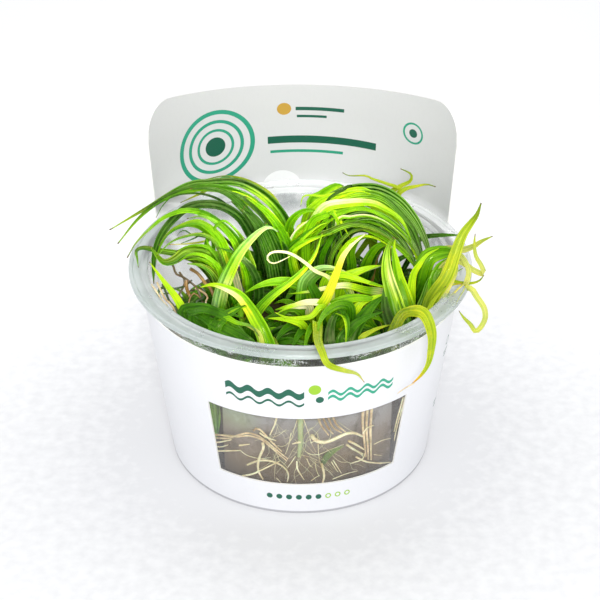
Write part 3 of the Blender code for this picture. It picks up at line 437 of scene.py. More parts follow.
# Smaller leaves that grow between them, in the same form
SMALL_LEAVES = [
    ("back_leaf_7", 1.0, "pale_olive",
     [(-11, 15, 39), (-16, 9, 45), (-16.5, 9, 49.5), (-18.5, 9, 58.5), (-23, 9, 61.5), (-28.5, 8, 61),
      (-33, 7, 61), (-37, 5, 62)]),
    ("back_leaf_8", 1.1, "deep",
     [(-10, 16, 39), (-16, 11, 50), (-21, 9, 59), (-26.5, 8, 62.5), (-30.5, 7, 64), (-32.5, 6, 66),
      (-34, 5, 66), (-34.5, 4, 65.5)]),
    ("back_leaf_9", 1.2, "deep",
     [(-9.5, 14.5, 39), (-15, 9, 52), (-21, 7.5, 62), (-26.5, 6, 65.5), (-29.5, 4.5, 64.5),
      (-33.5, 3, 63.5)]),
    ("back_leaf_10", 1.0, "deep",
     [(-9, 18.5, 39), (-14, 16.5, 55), (-20, 15, 68), (-27, 12.5, 74), (-35, 10, 75), (-38.5, 8, 73),
      (-40.5, 6, 70)]),
    ("back_leaf_11", 3.6, "green_ribbed",
     [(-3.5, 15, 38), (-3.5, 12, 48), (-5.5, 12, 57.5), (-9, 12.5, 65), (-13.5, 13, 70.5),
      (-17.5, 13.5, 73), (-22, 13.5, 75)]),
    ("back_leaf_12", 3.4, "green_ribbed",
     [(-7, 14, 38), (-8, 11, 48), (-9.5, 10.5, 54.5), (-12, 11, 62.5), (-15.5, 11.5, 68),
      (-19.5, 12, 72)]),
    ("back_leaf_13", 3.8, "green",
     [(-3, 13.5, 38), (-2.5, 10, 46.5), (-3, 10.5, 53.5), (-4.5, 11, 60), (-7.5, 11, 66), (-11, 11.5, 70),
      (-15.5, 12, 73.5)]),
    ("back_leaf_14", 3.8, "green_ribbed",
     [(-6, 13.5, 38), (-7.5, 9, 46.5), (-8.5, 9, 53.5), (-10.5, 9.5, 60), (-13, 10, 66),
      (-16.5, 10, 70.5)]),
    ("back_leaf_15", 2.0, "olive",
     [(-10, 14, 38), (-13, 6, 48), (-13.5, 6, 54), (-15.5, 6.5, 60), (-17.5, 7, 64.5), (-20.5, 7, 68)]),
    ("back_leaf_16", 3.8, "lime",
     [(-4.5, 16.5, 38), (-3, 14, 50.5), (-4.5, 14.5, 58), (-8, 15, 64.5), (-12.5, 15, 69.5),
      (-17, 15.5, 72.5), (-21.5, 16, 74)]),
    ("back_leaf_17", 4.4, "green_ribbed",
     [(-5, 12, 38), (-6, 10, 47), (-7.5, 10, 55), (-9.5, 10.5, 61.5), (-12.5, 11, 67),
      (-16, 11.5, 70.5)]),
    ("back_leaf_18", 4.4, "deep",
     [(-2, 12.5, 38), (-3.5, 9.5, 48), (-4.5, 10, 56), (-7, 10.5, 61.5), (-10, 11, 65.5)]),
    ("left_leaf_7", 1.6, "green",
     [(-17, 4.5, 38), (-24, 4, 50), (-26.5, 2.5, 62), (-24.5, 1, 68.5), (-21.5, 0, 72.5), (-18.5, -1, 71),
      (-15, -2, 67.5)]),
    ("left_leaf_8", 2.5, "green",
     [(-18, -1.8, 38), (-17, -7, 46), (-19.5, -6, 55), (-21.5, -3, 59.5), (-25.5, 0, 64.5),
      (-26.5, 3, 66)]),
    ("left_leaf_9", 2.0, "olive",
     [(-21.6, 0, 38), (-28, -1, 43), (-31.5, -3, 48), (-33.5, -4, 52), (-37, -3, 53)]),
    ("left_leaf_10", 3.2, "deep",
     [(-17.5, -1.6, 38), (-13, -6, 46), (-11.5, -7, 54), (-13.5, -6.5, 61), (-18, -5, 65),
      (-23, -3.5, 66)]),
    ("left_leaf_11", 1.4, "green",
     [(-17.5, 1.5, 38), (-24, 2, 58), (-24.5, 1.5, 65.5), (-28, 0.5, 70), (-32, 0, 71), (-36, -0.5, 69.5),
      (-39, -1.5, 65), (-40.5, -2, 60.5)]),
    ("left_leaf_12", 2.6, "bright_pale_tip",
     [(-16.5, 2.5, 38), (-14.5, 0, 52.5), (-17.5, 1, 62.5), (-20, 1.5, 67.5), (-23.5, 2, 71),
      (-27.5, 2.5, 72.5), (-31.5, 3, 71.5)]),
    ("left_leaf_13", 2.0, "bright",
     [(-20, -1, 38), (-22, -4, 52.5), (-22.5, -4, 59), (-26, -3.5, 63), (-30.5, -3, 63.5), (-34, -3, 61)]),
    ("left_leaf_14", 1.8, "green",
     [(-18.5, -1.5, 38), (-20.5, -3, 54), (-22, -2.5, 60.5), (-25.5, -2, 65), (-30, -1.5, 65.5),
      (-34.5, -1, 63.5)]),
    ("left_leaf_15", 3.2, "olive",
     [(-19.5, -2.5, 38), (-22, -3, 48.5), (-23, -3, 54), (-25, -3, 58), (-28, -3, 60),
      (-31.5, -3, 60.5)]),
    ("left_leaf_16", 2.6, "bright",
     [(-20.5, 1, 38), (-21, 0, 50.5), (-22.5, 0, 55.5), (-25, 0, 58.5), (-28.5, -0.5, 60.5),
      (-32, -1, 60.5)]),
    ("left_leaf_17", 5.0, "deep",
     [(-24, -8, 38), (-31, -7, 48.5), (-30, -6, 50), (-28.5, -5, 51), (-26.5, -4, 52)]),
    ("back_right_leaf_7", 3.0, "bright",
     [(4, 14.3, 38), (2, 10.5, 50), (1.5, 10.5, 60), (3.5, 11, 66), (6.5, 10, 68.5), (11, 9.5, 70.5),
      (15, 8.5, 72), (19.5, 8, 71.5), (24.5, 7, 68)]),
    ("back_right_leaf_8", 2.2, "deep",
     [(7.5, 18.6, 38), (10, 9, 38), (4, 9.5, 52.5), (8, 9, 60), (12.5, 8.5, 65.5), (18, 7, 67.5),
      (23, 5, 66.5), (27.5, 2.5, 63.5), (31.5, 0, 58.5)]),
    ("back_right_leaf_9", 1.6, "pale_striped",
     [(3.6, 19.3, 38), (-1.5, 15, 48), (-3, 12, 57), (-1, 12, 62.5), (4.5, 12, 67), (8.5, 12, 68.5)]),
    ("back_right_leaf_10", 3.0, "green_folded",
     [(5, 13.8, 38), (-1, 10.5, 47), (-2.5, 10, 57), (-0.5, 9.5, 60.5), (5, 9.5, 65.5), (8.5, 9, 67)]),
    ("back_right_leaf_11", 3.0, "lime_folded",
     [(6.5, 14, 38), (0, 9, 46), (-2.5, 8, 56.5), (-0.5, 7.5, 60), (5, 6.5, 63.5), (9, 6, 65)]),
    ("back_right_leaf_12", 1.7, "olive_lime",
     [(8.4, 17, 38), (20, 20, 55), (27, 20, 67), (28.5, 19, 72), (24.5, 19, 74), (20.5, 19, 75.5),
      (18.5, 19, 76.5), (14, 19, 76.5), (12, 19, 77.5)]),
    ("back_right_leaf_13", 1.6, "lime",
     [(7, 18, 38), (8, 20, 55), (10, 19, 67), (8.5, 17, 70.5), (5.5, 17, 71), (1, 17, 71), (0, 17, 67.5)]),
    ("back_right_leaf_14", 4.2, "green",
     [(3, 15.5, 38), (-2, 15.5, 47), (-3.5, 15, 57.5), (-3, 14, 63), (-1, 13.5, 66.5), (2, 13, 68.5),
      (6, 12, 68.5)]),
    ("back_right_leaf_15", 1.5, "deep",
     [(7.5, 15.5, 38), (12, 17, 60), (14.5, 16, 74), (12, 15, 74), (8.5, 14.5, 72), (6.5, 13.5, 69),
      (6, 13, 65), (6, 12, 60)]),
    ("back_right_leaf_16", 2.6, "bright",
     [(7.8, 17.6, 38), (9, 12, 55), (8, 10, 67), (8.5, 9, 70), (10, 8, 69), (12, 7, 62.5)]),
    ("back_right_leaf_17", 2.2, "lime",
     [(8, 16, 38), (11, 12, 55), (9, 10, 68), (9.5, 9, 70.5), (11, 8, 68.5), (14, 7, 63)]),
    ("back_right_leaf_18", 1.5, "deep",
     [(6.5, 13.4, 38), (8, 9, 50), (8.2, 9, 62), (8.5, 9, 69), (9.5, 8.5, 68.5), (9.5, 7.5, 64.5),
      (12, 7, 60.5)]),
    ("back_right_leaf_19", 3.6, "lime_streaked",
     [(7, 15, 38), (0, 14, 59), (3.5, 12.5, 64.5), (7, 11, 70.5), (12.5, 9, 73), (19.5, 7.5, 74),
      (24, 5.5, 73), (28, 4, 70.5), (30, 2, 67.5), (31.5, 0.5, 64)]),
    ("back_right_leaf_20", 3.4, "lime_dark_end",
     [(3.5, 17.5, 38), (3.5, 17.5, 62), (8.5, 15.5, 69.5), (14, 13.5, 73), (19.5, 11.5, 74.5), (24, 9, 74),
      (28, 7, 71), (31.5, 5, 67.5), (33.5, 3, 63.5), (34.5, 1, 60)]),
    ("back_right_leaf_21", 4.4, "grey_ribbed",
     [(7, 13, 38), (9, 11, 60), (13, 9, 67.5), (18, 7, 70.5), (22.5, 5, 70.5), (26.5, 3.5, 68.5),
      (30, 1.5, 66), (32.5, -0.5, 63), (34, -2.5, 59.5)]),
    ("back_right_leaf_22", 2.0, "bright",
     [(5.5, 13.5, 38), (-0.5, 13, 56.5), (3.5, 11, 61), (7, 9.5, 66.5), (11, 8, 70.5), (16.5, 6, 73),
      (20.5, 4, 73), (25.5, 2.5, 70.5), (29.5, 1, 67), (32, -1, 63.5)]),
    ("back_right_leaf_23", 2.2, "olive",
     [(7, 12.5, 38), (5, 9.5, 59.5), (9, 7.5, 65), (14.5, 6, 68), (18.5, 4, 68.5), (22, 2, 68),
      (26, 0, 66), (29.5, -1.5, 63.5), (31.5, -3.5, 60.5)]),
    ("back_right_leaf_24", 1.4, "pale_striped",
     [(7.5, 13, 38), (10, 8.5, 66), (14.5, 6.5, 70), (19, 4.5, 71.5), (23.5, 2, 71), (27, 0, 69),
      (30.5, -2, 66)]),
    ("back_right_leaf_25", 2.4, "lime_streaked",
     [(2.5, 15.5, 38), (-2, 12, 53.5), (1, 11.5, 60), (5, 10.5, 64), (9, 10, 66.5)]),
    ("back_right_leaf_26", 2.4, "lime",
     [(3, 17, 38), (-2.5, 14, 56), (1, 13.5, 62.5), (5, 13, 66), (9.5, 12.5, 68.5)]),
    # A dark blade in the dome's hollow, coloured deep so that the hollow reads as shade: painted shade on a
    # real leaf.
    ("back_right_leaf_27", 4.2, "deep",
     [(8, 15.5, 38), (11, 13, 55.5), (13, 12, 62), (16, 11.5, 65), (19, 11, 64.5), (22, 10, 62)]),
    ("back_right_leaf_28", 3.2, "lime",
     [(3, 18.5, 38), (1.5, 18, 61), (5.5, 16.5, 69), (11, 15, 72.5), (16.5, 13.5, 75), (20.5, 12, 74.5),
      (24.5, 10.5, 73.5), (28, 9, 70)]),
    ("back_right_leaf_29", 4.6, "deep",
     [(8, 15, 38), (11, 12, 51.5), (12, 12, 58.5), (14.5, 12, 62.5), (18, 11.5, 63.5), (21.5, 11, 62),
      (25, 10, 58)]),
    ("back_right_leaf_30", 3.4, "green",
     [(9, 12, 38), (14.5, 10.5, 49.5), (14.5, 10.5, 56), (16.5, 10.5, 60.5), (19.5, 10, 61.5),
      (22, 10, 59.5)]),
    ("back_right_leaf_31", 1.6, "olive",
     [(8, 12, 38), (8.5, 8, 54.5), (11, 7.5, 61), (14.5, 7, 65), (18.5, 6, 66.5), (22, 5, 65.5),
      (24.5, 3.5, 64)]),
    ("back_right_leaf_32", 1.5, "lime",
     [(9, 12, 38), (10.5, 7, 55), (13.5, 6.5, 61.5), (17, 6, 64), (20, 5, 64.5), (23.5, 3.5, 63.5),
      (27, 1.5, 61.5)]),
    ("back_right_leaf_33", 1.8, "green",
     [(7, 12, 38), (6, 8.5, 54), (8.5, 8.5, 61.5), (11.5, 8, 66.5), (15.5, 7, 68.5), (19.5, 5.5, 69),
      (23.5, 4, 68), (27.5, 2, 65.5)]),
    ("back_right_leaf_34", 3.6, "deep",
     [(10, 11, 38), (19, 8, 49.5), (20.5, 7, 55.5), (22.5, 6, 59.5), (25.5, 5, 61)]),
    ("far_right_leaf_4", 3.4, "green",
     [(21, 13.6, 38), (18, 9, 46), (19, 7, 55), (22, 5.5, 61), (26, 3.5, 63), (30, 1.5, 61)]),
    ("far_right_leaf_5", 3.2, "deep",
     [(24, 12.4, 38), (24, 7, 48), (26, 5, 55), (30, 3.5, 59), (34, 2.5, 58)]),
    ("front_leaf_8", 3.0, "bright",
     [(7.4, -9.3, 41), (7.5, -7.5, 53), (8, -9, 61), (11, -10.5, 61), (17.5, -11.5, 60), (23.5, -13, 59)]),
    ("front_leaf_9", 4.0, "lime",
     [(8.8, -10.4, 41), (10.5, -7.5, 50), (12.5, -7, 58), (14.5, -6, 59), (19.5, -5, 60.5),
      (22.5, -4, 60.5)]),
    ("front_leaf_10", 3.4, "grey_pale",
     [(4.5, -9, 41), (0.5, -10.5, 50), (0.5, -11, 58), (2, -10.5, 61), (5, -10, 63), (8.5, -9.5, 63),
      (13.5, -9, 61)]),
    ("front_leaf_11", 1.1, "cream",
     [(8.2, -11, 42), (9, -11, 55), (8, -12, 61), (6, -12, 62.5), (4, -12, 63.5), (2, -12, 65.5),
      (-1, -12, 68), (-4, -12, 69.5), (-7.5, -12, 69.5), (-9, -12, 68), (-8.5, -12, 66.5),
      (-7, -12, 66), (-4, -12, 67.5), (-2.5, -12, 68.5)]),
    ("front_leaf_12", 3.4, "deep",
     [(7.6, -14.4, 41), (13, -19, 47), (17, -21, 50), (21, -22, 50)]),
    ("front_leaf_13", 3.6, "green",
     [(3.4, -11.4, 40), (-3, -16, 45), (-7, -18, 48), (-12, -19, 49)]),
    ("front_leaf_14", 3.2, "deep",
     [(5, -14.8, 41), (2, -22, 45), (-1, -27, 47), (-5, -30, 47)]),
    ("front_leaf_15", 3.0, "deep",
     [(8.6, -12.8, 42), (14, -13.5, 50), (19, -15, 53), (24, -18, 53)]),
    ("front_leaf_16", 2.8, "lime",
     [(9, -10, 41), (6.5, -9, 52.5), (7, -10, 59.5), (11, -10.5, 61.5), (15, -11.5, 61), (19.5, -12, 59.5),
      (24.5, -13, 58.5)]),
    ("front_leaf_17", 2.6, "mint",
     [(9.5, -10.5, 41), (14, -8, 51.5), (12.5, -7, 56.5), (15, -6, 58.5), (18, -5, 59.5), (23, -4, 60.5)]),
    ("front_leaf_18", 2.6, "cream_middle",
     [(8, -14, 41), (9.5, -15, 50), (7, -16.5, 55.5), (5, -17, 56.5), (1, -18.5, 57.5), (-3, -20, 57),
      (-6.5, -21, 55.5)]),
    ("front_leaf_19", 2.2, "lime",
     [(7, -15, 42), (8, -18.5, 50), (6, -19, 56.5), (3, -20, 54), (-0.5, -21, 54), (-4, -22, 55),
      (-7, -22.5, 57)]),
    ("front_leaf_20", 3.8, "bright",
     [(9.5, -12.5, 41), (7, -17, 50), (9, -16, 54.5), (12.5, -15.5, 56.5), (17, -14.5, 56.5),
      (21.5, -14, 55.5), (24.5, -13, 56)]),
    ("front_leaf_21", 3.4, "lime",
     [(6.5, -15.5, 41), (14, -16, 51.5), (16.5, -15, 55), (19.5, -14, 56), (23.5, -13, 57)]),
    ("front_leaf_22", 2.2, "mid_green",
     [(8.5, -14.5, 41), (6, -22, 54), (7.5, -23, 58), (10.5, -23.5, 59), (12, -24, 56), (12, -25, 49.5)]),
    ("front_leaf_23", 4.4, "deep",
     [(8, -15.5, 41), (8, -27, 47), (8, -25, 53), (9.5, -23, 56.5), (12.5, -21, 56.5)]),
    ("front_leaf_24", 4.0, "mid_green",
     [(6.5, -9, 41), (5, -12, 54), (3, -11.5, 59), (5, -10.5, 61), (8.5, -10, 61.5)]),
    ("front_leaf_25", 3.2, "green",
     [(13, -19, 42), (13.5, -22, 57), (11.5, -23.5, 60), (9, -26, 61), (6.5, -29.5, 61), (5, -34, 61),
      (4.5, -38, 60.5)]),
    ("front_left_leaf_5", 2.8, "mid_green",
     [(-15.6, -22.6, 38), (-22, -30, 46), (-22, -29, 55), (-20, -27, 57.5), (-17, -25, 59),
      (-15, -23, 59.5)]),
    ("front_left_leaf_6", 2.4, "bright_pale_tip",
     [(-15, -23.6, 38), (-20, -30, 48), (-20.5, -27.5, 56), (-19.5, -27, 58), (-17, -28.5, 57.5),
      (-13, -29.5, 57), (-11, -31, 55)]),
    ("front_left_leaf_7", 3.4, "green",
     [(-16.4, -21.6, 38), (-23, -23, 44), (-27, -23, 48), (-31, -21, 49)]),
    ("front_left_leaf_8", 3.2, "green",
     [(-12.4, -24, 38), (-9, -31, 43), (-5, -34, 47), (0, -35, 49)]),
    ("front_left_leaf_9", 4.6, "mid_green",
     [(-17, -23, 38), (-31, -20, 53.5), (-28, -22.5, 58), (-23.5, -25, 59), (-18, -27.5, 57),
      (-13.5, -30, 53.5)]),
    ("front_left_leaf_10", 4.0, "green_folded",
     [(-14, -21, 38), (-23, -27, 54), (-21, -24.5, 56.5), (-17.5, -22.5, 58), (-13.5, -20, 57.5)]),
    ("front_left_leaf_11", 2.0, "pale_yellow",
     [(-14.5, -24.5, 38), (-10.5, -31, 50.5), (-11, -30, 55), (-13.5, -29, 56.5), (-17, -28, 57.5)]),
    ("front_left_leaf_12", 4.6, "mid_green",
     [(-17, -21, 38), (-28.5, -22, 53.5), (-25, -22.5, 57), (-20, -23.5, 57.5), (-15.5, -24, 56)]),
    ("front_right_leaf_6", 3.4, "deep",
     [(24.8, -17.6, 38), (24, -25, 44), (20, -30, 48), (15, -33, 50)]),
    ("front_right_leaf_7", 3.2, "green",
     [(27.6, -16, 38), (33, -20, 44), (33, -24, 49), (30, -27, 52)]),
    ("front_right_leaf_8", 4.4, "mid_green",
     [(24, -18, 38), (11.5, -27, 49), (14, -24.5, 53.5), (17.5, -22.5, 55), (22.5, -20, 55.5)]),
    ("front_right_leaf_9", 4.2, "deep",
     [(25, -14, 38), (25, -20, 49.5), (23.5, -17.5, 53.5), (23, -14.5, 57), (23.5, -12, 60.5)]),
    ("front_right_leaf_10", 2.4, "olive_lime",
     [(26.5, -18, 38), (16.5, -27, 50.5), (19, -26, 53), (22.5, -25, 54), (25, -24, 54)]),
    ("front_right_leaf_11", 4.4, "green",
     [(28.5, -15.5, 38), (28.5, -17, 50), (28, -14, 55.5), (27, -11, 59.5), (25.5, -8, 62.5)]),
    ("right_leaf_7", 1.2, "olive_lime",
     [(32, -7.5, 38), (34, -13, 50), (38.5, -12, 58), (40.5, -13, 61), (43.5, -14, 61),
      (46.5, -15, 61.5), (48.5, -16, 63), (49.5, -16.5, 65)]),
    ("right_leaf_8", 1.5, "yellow_end",
     [(34.6, -4, 38), (37, -11, 48), (36.5, -12.5, 55), (37, -13, 57.5), (39, -14, 59.5), (41.5, -15, 61),
      (44, -16, 62)]),
    ("right_leaf_9", 0.7, "faded",
     [(31, -7.8, 38), (37, -15.5, 50), (42, -17, 60), (45, -19, 64.5), (44, -20.5, 63), (42.5, -22.5, 61.5),
      (41.5, -24, 60.5)]),
    ("right_leaf_10", 3.4, "deep",
     [(29, -6.4, 38), (29, -12, 46), (31, -15, 51), (34, -16, 54)]),
    ("right_leaf_11", 4.6, "green",
     [(31.5, -6.5, 38), (36.5, -15, 56), (37, -12.5, 60), (38.5, -10.5, 63.5), (41.5, -8, 65.5)]),
    ("right_leaf_12", 2.4, "olive",
     [(33, -6, 38), (39, -17, 56), (40, -15.5, 60.5), (41, -14.5, 63.5), (44, -13, 65)]),
    ("right_leaf_13", 3.4, "olive",
     [(31, -8, 38), (32.5, -17, 53.5), (34, -14.5, 57), (35.5, -11.5, 60.5), (38.5, -9, 63.5)]),
    ("right_leaf_14", 4.2, "green",
     [(30, -7.5, 41), (36, -12, 52.5), (38.5, -10, 57.5), (41, -7, 60), (43.5, -5, 61.5)]),
    ("right_leaf_15", 2.4, "faded",
     [(30.5, -8.5, 41), (37, -18, 56), (40, -16.5, 61), (42, -15, 64.5), (42.5, -13.5, 67.5),
      (42.5, -13, 69.5)]),
    ("right_leaf_16", 2.2, "olive_lime",
     [(29.5, -9.5, 41), (34, -20, 54.5), (35.5, -21, 59), (37.5, -21, 62.5), (39, -20.5, 64)]),
]

# Blades that differ from the usual form: keel is the depth of the fold, base the share of the width at
# the base, full_at the share of the length where the width is full, faces the ways that the base and
# the tip look
RIBBED = {"keel": 0.5, "base": 1.0, "pleats": 4}
LEAF_FORMS = {
    "back_leaf_1": {"keel": 0.4, "taper": 1.9, "base": 1.2, "pleats": 3},
    "back_leaf_2": {"keel": 0.45, "taper": 1.5, "base": 1.0, "pleats": 3},
    "back_leaf_3": {"keel": 0.5, "taper": 2.2, "base": 1.0, "pleats": 3},
    "back_leaf_4": {"base": 1.4, "taper": 7.0, "pleats": 3},
    "back_leaf_5": {"taper": 1.6},
    "back_leaf_11": RIBBED,
    "back_leaf_12": RIBBED,
    "back_leaf_13": RIBBED,
    "back_leaf_14": RIBBED,
    "back_leaf_15": RIBBED,
    "left_leaf_1": {"taper": 1.3, "pleats": 3},
    "left_leaf_2": {"base": 1.3, "pleats": 2},
    "left_leaf_4": {"pleats": 3, "keel": 0.3},
    "left_leaf_6": {"keel": 0.35, "taper": 1.8, "pleats": 4},
    "front_left_leaf_1": {"keel": 0.45, "taper": 2.0, "pleats": 2},
    "front_left_leaf_4": {"taper": 1.3, "keel": 0.35, "pleats": 2},
    "front_leaf_1": {"taper": 2.0},
    "front_leaf_2": {"faces": ((0.0, -0.3, 1.0), (0.1, -1.0, 0.2)), "taper": 3.0},
    "front_leaf_6": {"faces": ((0.0, -1.0, 0.5), (0.3, 0.0, 1.0)), "keel": 0.5},
    "front_right_leaf_1": {"pleats": 3, "keel": 0.4},
    "front_right_leaf_2": {"pleats": 3, "keel": 0.4},
    "front_right_leaf_4": {"faces": ((0.0, -1.0, 0.3), (0.7, -0.8, 0.2)), "taper": 5.0, "keel": 0.3,
                           "pleats": 2},
    "front_right_leaf_5": {"pleats": 2, "keel": 0.4},
    "right_leaf_1": {"pleats": 2, "taper": 4.6},
    "right_leaf_3": {"taper": 6.0},
    "right_leaf_4": {"taper": 7.0},
    "right_leaf_5": {"taper": 7.0},
    "right_leaf_6": {"faces": ((0.0, -1.0, 0.3), (0.3, -0.9, 0.3)), "taper": 9.0, "base": 0.35,
                     "full_at": 0.9},
    "right_leaf_7": {"taper": 6.0},
    "right_leaf_11": {"taper": 8.0, "pleats": 2},
    "right_leaf_14": {"taper": 8.0, "pleats": 2},
    "far_right_leaf_1": {"taper": 9.0},
    "right_leaf_2": {"keel": 0.4, "pleats": 3, "taper": 9.0},
    "back_right_leaf_1": {"keel": 0.7, "pleats": 4, "base": 1.0},
    "back_right_leaf_2": {"keel": 0.7, "pleats": 4, "base": 1.0},
    "back_right_leaf_3": {"keel": 0.4, "pleats": 3},
    "back_right_leaf_4": {"keel": 0.45, "pleats": 3},
    "back_right_leaf_5": {"keel": 0.45, "pleats": 3},
    "back_right_leaf_6": {"taper": 14.0, "keel": 0.6, "base": 0.8},
    "back_right_leaf_14": RIBBED,
    "back_right_leaf_20": RIBBED,
    "back_right_leaf_21": RIBBED,
}

# Roots between the gel and the wall: name, strands and radius; a strand is a route of (angle, height)
ROOTS = [
    ("folded_root", 0.3, [
        [(-38.6, 20.5), (-30.8, 22.7), (-26.3, 25), (-21.2, 27), (-17, 26.7), (-13.5, 25), (-9.6, 22.3),
         (-5.2, 19.3)],
        [(-37.6, 22), (-32, 23.4), (-26.4, 24.5), (-21.3, 26), (-16.2, 25.7), (-13, 23.8), (-9.6, 21.4),
         (-5.8, 18.6)],
        [(-18.7, 28.4), (-17.7, 29.4), (-16.2, 29.2), (-13.8, 27.3), (-11.4, 25), (-7.6, 22)]]),
    ("looped_root", 0.3, [
        [(-23, 14.6), (-18.4, 16.9), (-14, 17.9), (-9.3, 17.2), (-6.2, 15.3), (-5.1, 13.2), (-5.6, 10.4)]]),
    ("tan_root", 0.34, [
        [(6.2, 36), (8.2, 31.6), (11.2, 27.8)], [(8, 36), (10.4, 31.2), (13, 28)],
        [(9.8, 36), (12.8, 30.6), (16.4, 28)], [(11.8, 36), (14.2, 31.4), (18, 28.1)]]),
    ("cream_root", 0.55, [
        [(4.4, 28.2), (6.2, 26.2), (8.9, 25.3), (12.2, 25.6), (15.8, 26.7), (19, 27.3), (22.3, 26.7),
         (25.7, 24.8)]]),
    ("thick_root", 0.42, [
        [(24.8, 36), (25.3, 30), (26.8, 23.5), (28.6, 16.3)],
        [(26.6, 36), (27.3, 27.5), (28.7, 21.3), (30, 15)],
        [(28.6, 35.6), (29.2, 27.1), (30.3, 20.9), (31.5, 14.4)]]),
]
PALE_ROOTS = ("cream_root", "looped_root")
ROOT_ROW = 1.2
ROOT_TAPER = 0.45

# Finer roots in the same gap: radius, and a route of (angle, height)
FINE_ROOTS = [
    (0.22, [(-16, 28.6), (-13.4, 27.3), (-9.4, 26.5)]),
    (0.26, [(-38.3, 19.2), (-33.8, 21), (-28.6, 23.3)]),
    (0.28, [(-37.8, 16.2), (-31.5, 18.3), (-25.5, 20)]),
    (0.26, [(-25.2, 22), (-23.1, 22.7), (-20.6, 23.5)]),
    (0.22, [(-37.9, 18), (-34.2, 19), (-30.6, 20.8)]),
    (0.3, [(-8.6, 36.4), (-9.8, 32.4), (-11.9, 28.3)]),
    (0.4, [(-15.1, 24.8), (-14.9, 22.9), (-16.3, 20.2), (-17.6, 17), (-17.7, 13.6), (-16, 10.8)]),
    (0.28, [(-25.4, 10.3), (-20.3, 12.2), (-14.6, 15.4), (-8.6, 18.7)]),
    (0.36, [(19.4, 24.9), (22.8, 22.8), (26.6, 20.1)]),
    (0.34, [(18.7, 23.6), (21.9, 21.2), (26.4, 18.4)]),
    (0.22, [(20.1, 22.7), (24.1, 19.7), (26.4, 17.7)]),
    (0.16, [(25, 26.6), (27, 28.2), (29.8, 28.4)]),
    (0.18, [(27.2, 18.5), (26, 16.5), (21, 16.2)]),
    (0.28, [(23.3, 18.1), (27.8, 15.3), (34.4, 12.7), (42, 10.4)]),
    (0.4, [(8.6, 17.7), (9.6, 14.7), (9.9, 12.1), (9.2, 9.6)]),
    (0.26, [(-1.4, 19), (-1.3, 16.4), (0, 14.1), (1.5, 12)]),
    (0.16, [(13.3, 18.7), (15.1, 16.1), (17.2, 13.1)]),
    (0.14, [(12.6, 18.2), (14.5, 15.4), (15.6, 13.9)]),
    (0.12, [(31, 21), (35.6, 21.2), (39.7, 20.4)]),
    (0.12, [(31.7, 16.9), (35.9, 15.2)]),
    (0.24, [(44.8, 34), (43.1, 26.5), (42.3, 21.9), (42.2, 18.6)]),
    (0.24, [(43.4, 34), (41.9, 27), (41.2, 22.3)]),
    (0.1, [(0.6, 36.4), (3.1, 29.8), (4.2, 26.1), (6.1, 22.6)]),
    (0.1, [(-0.8, 36), (-2.3, 31.5), (-3.4, 27.8), (-6.4, 24.7), (-9, 24.9)]),
    (0.09, [(1.6, 23.2), (4.3, 21.7), (7.9, 21.7), (11, 22.8), (17.3, 24.2)]),
    (0.12, [(-3.6, 29.8), (-4.6, 25.2), (-6, 21.8)]),
    (0.12, [(6.9, 25.5), (7.2, 21.7), (8, 18.3)]),
    (0.12, [(6, 18.4), (6.5, 15.8), (7.7, 13.1)]),
    (0.12, [(4.5, 11.6), (6.3, 12.8), (8, 13.5)]),
    (0.1, [(-25.2, 20.5), (-22.1, 19.1), (-16.7, 18.9), (-12, 20)]),
    (0.14, [(2.5, 20.2), (3.7, 17.7), (4.9, 16.8)]),
    (0.12, [(-10, 12.3), (-8, 10.5)]),
    (0.12, [(13.5, 11.4), (18.9, 12.5), (24.5, 12.6)]),
    (0.14, [(-2, 21.1), (-3.8, 18.5), (-5.2, 16.7)]),
    (0.1, [(3.8, 26.1), (6.4, 27.2), (6.7, 29.7)]),
    (0.3, [(0.2, 26.4), (-1.8, 26), (-3.2, 25.6)]),
]

# A pale runner behind the window: radius and a route of (angle, height)
RUNNER = (0.88, [(-0.1, 37), (0, 34), (0, 30), (0, 26), (-0.3, 23), (-0.6, 20.3)])

# Leaves that stand in the gap: name, width, finish and a route of (angle, height)
GAP_BLADES = [
    ("gap_leaf_1", 5.2, "olive", [(-38.2, 38), (-38, 32), (-38, 26), (-38, 20)]),
    ("gap_leaf_2", 1.9, "dull_olive", [(9.5, 16.8), (11, 19.5), (14.2, 21.4), (18.2, 22.5)]),
]

# Hair-fine roots that spread from the runner in the gap: how many, radius, the heights they start at,
# and the angle and height past which they end
ROOT_HAIRS = 36
ROOT_HAIR_RADIUS = 0.045
ROOT_HAIR_HEIGHTS = (18.0, 36.0)
ROOT_HAIR_LAST_ANGLE = 35.0
ROOT_HAIR_LOWEST = 5.0

# How far in from the wall each kind of root in the gap lies
RUNNER_GAP = 1.4
GAP_BLADE_GAP = 1.6
FINE_ROOT_GAP = 0.3
ROOT_HAIR_GAP = 1.5

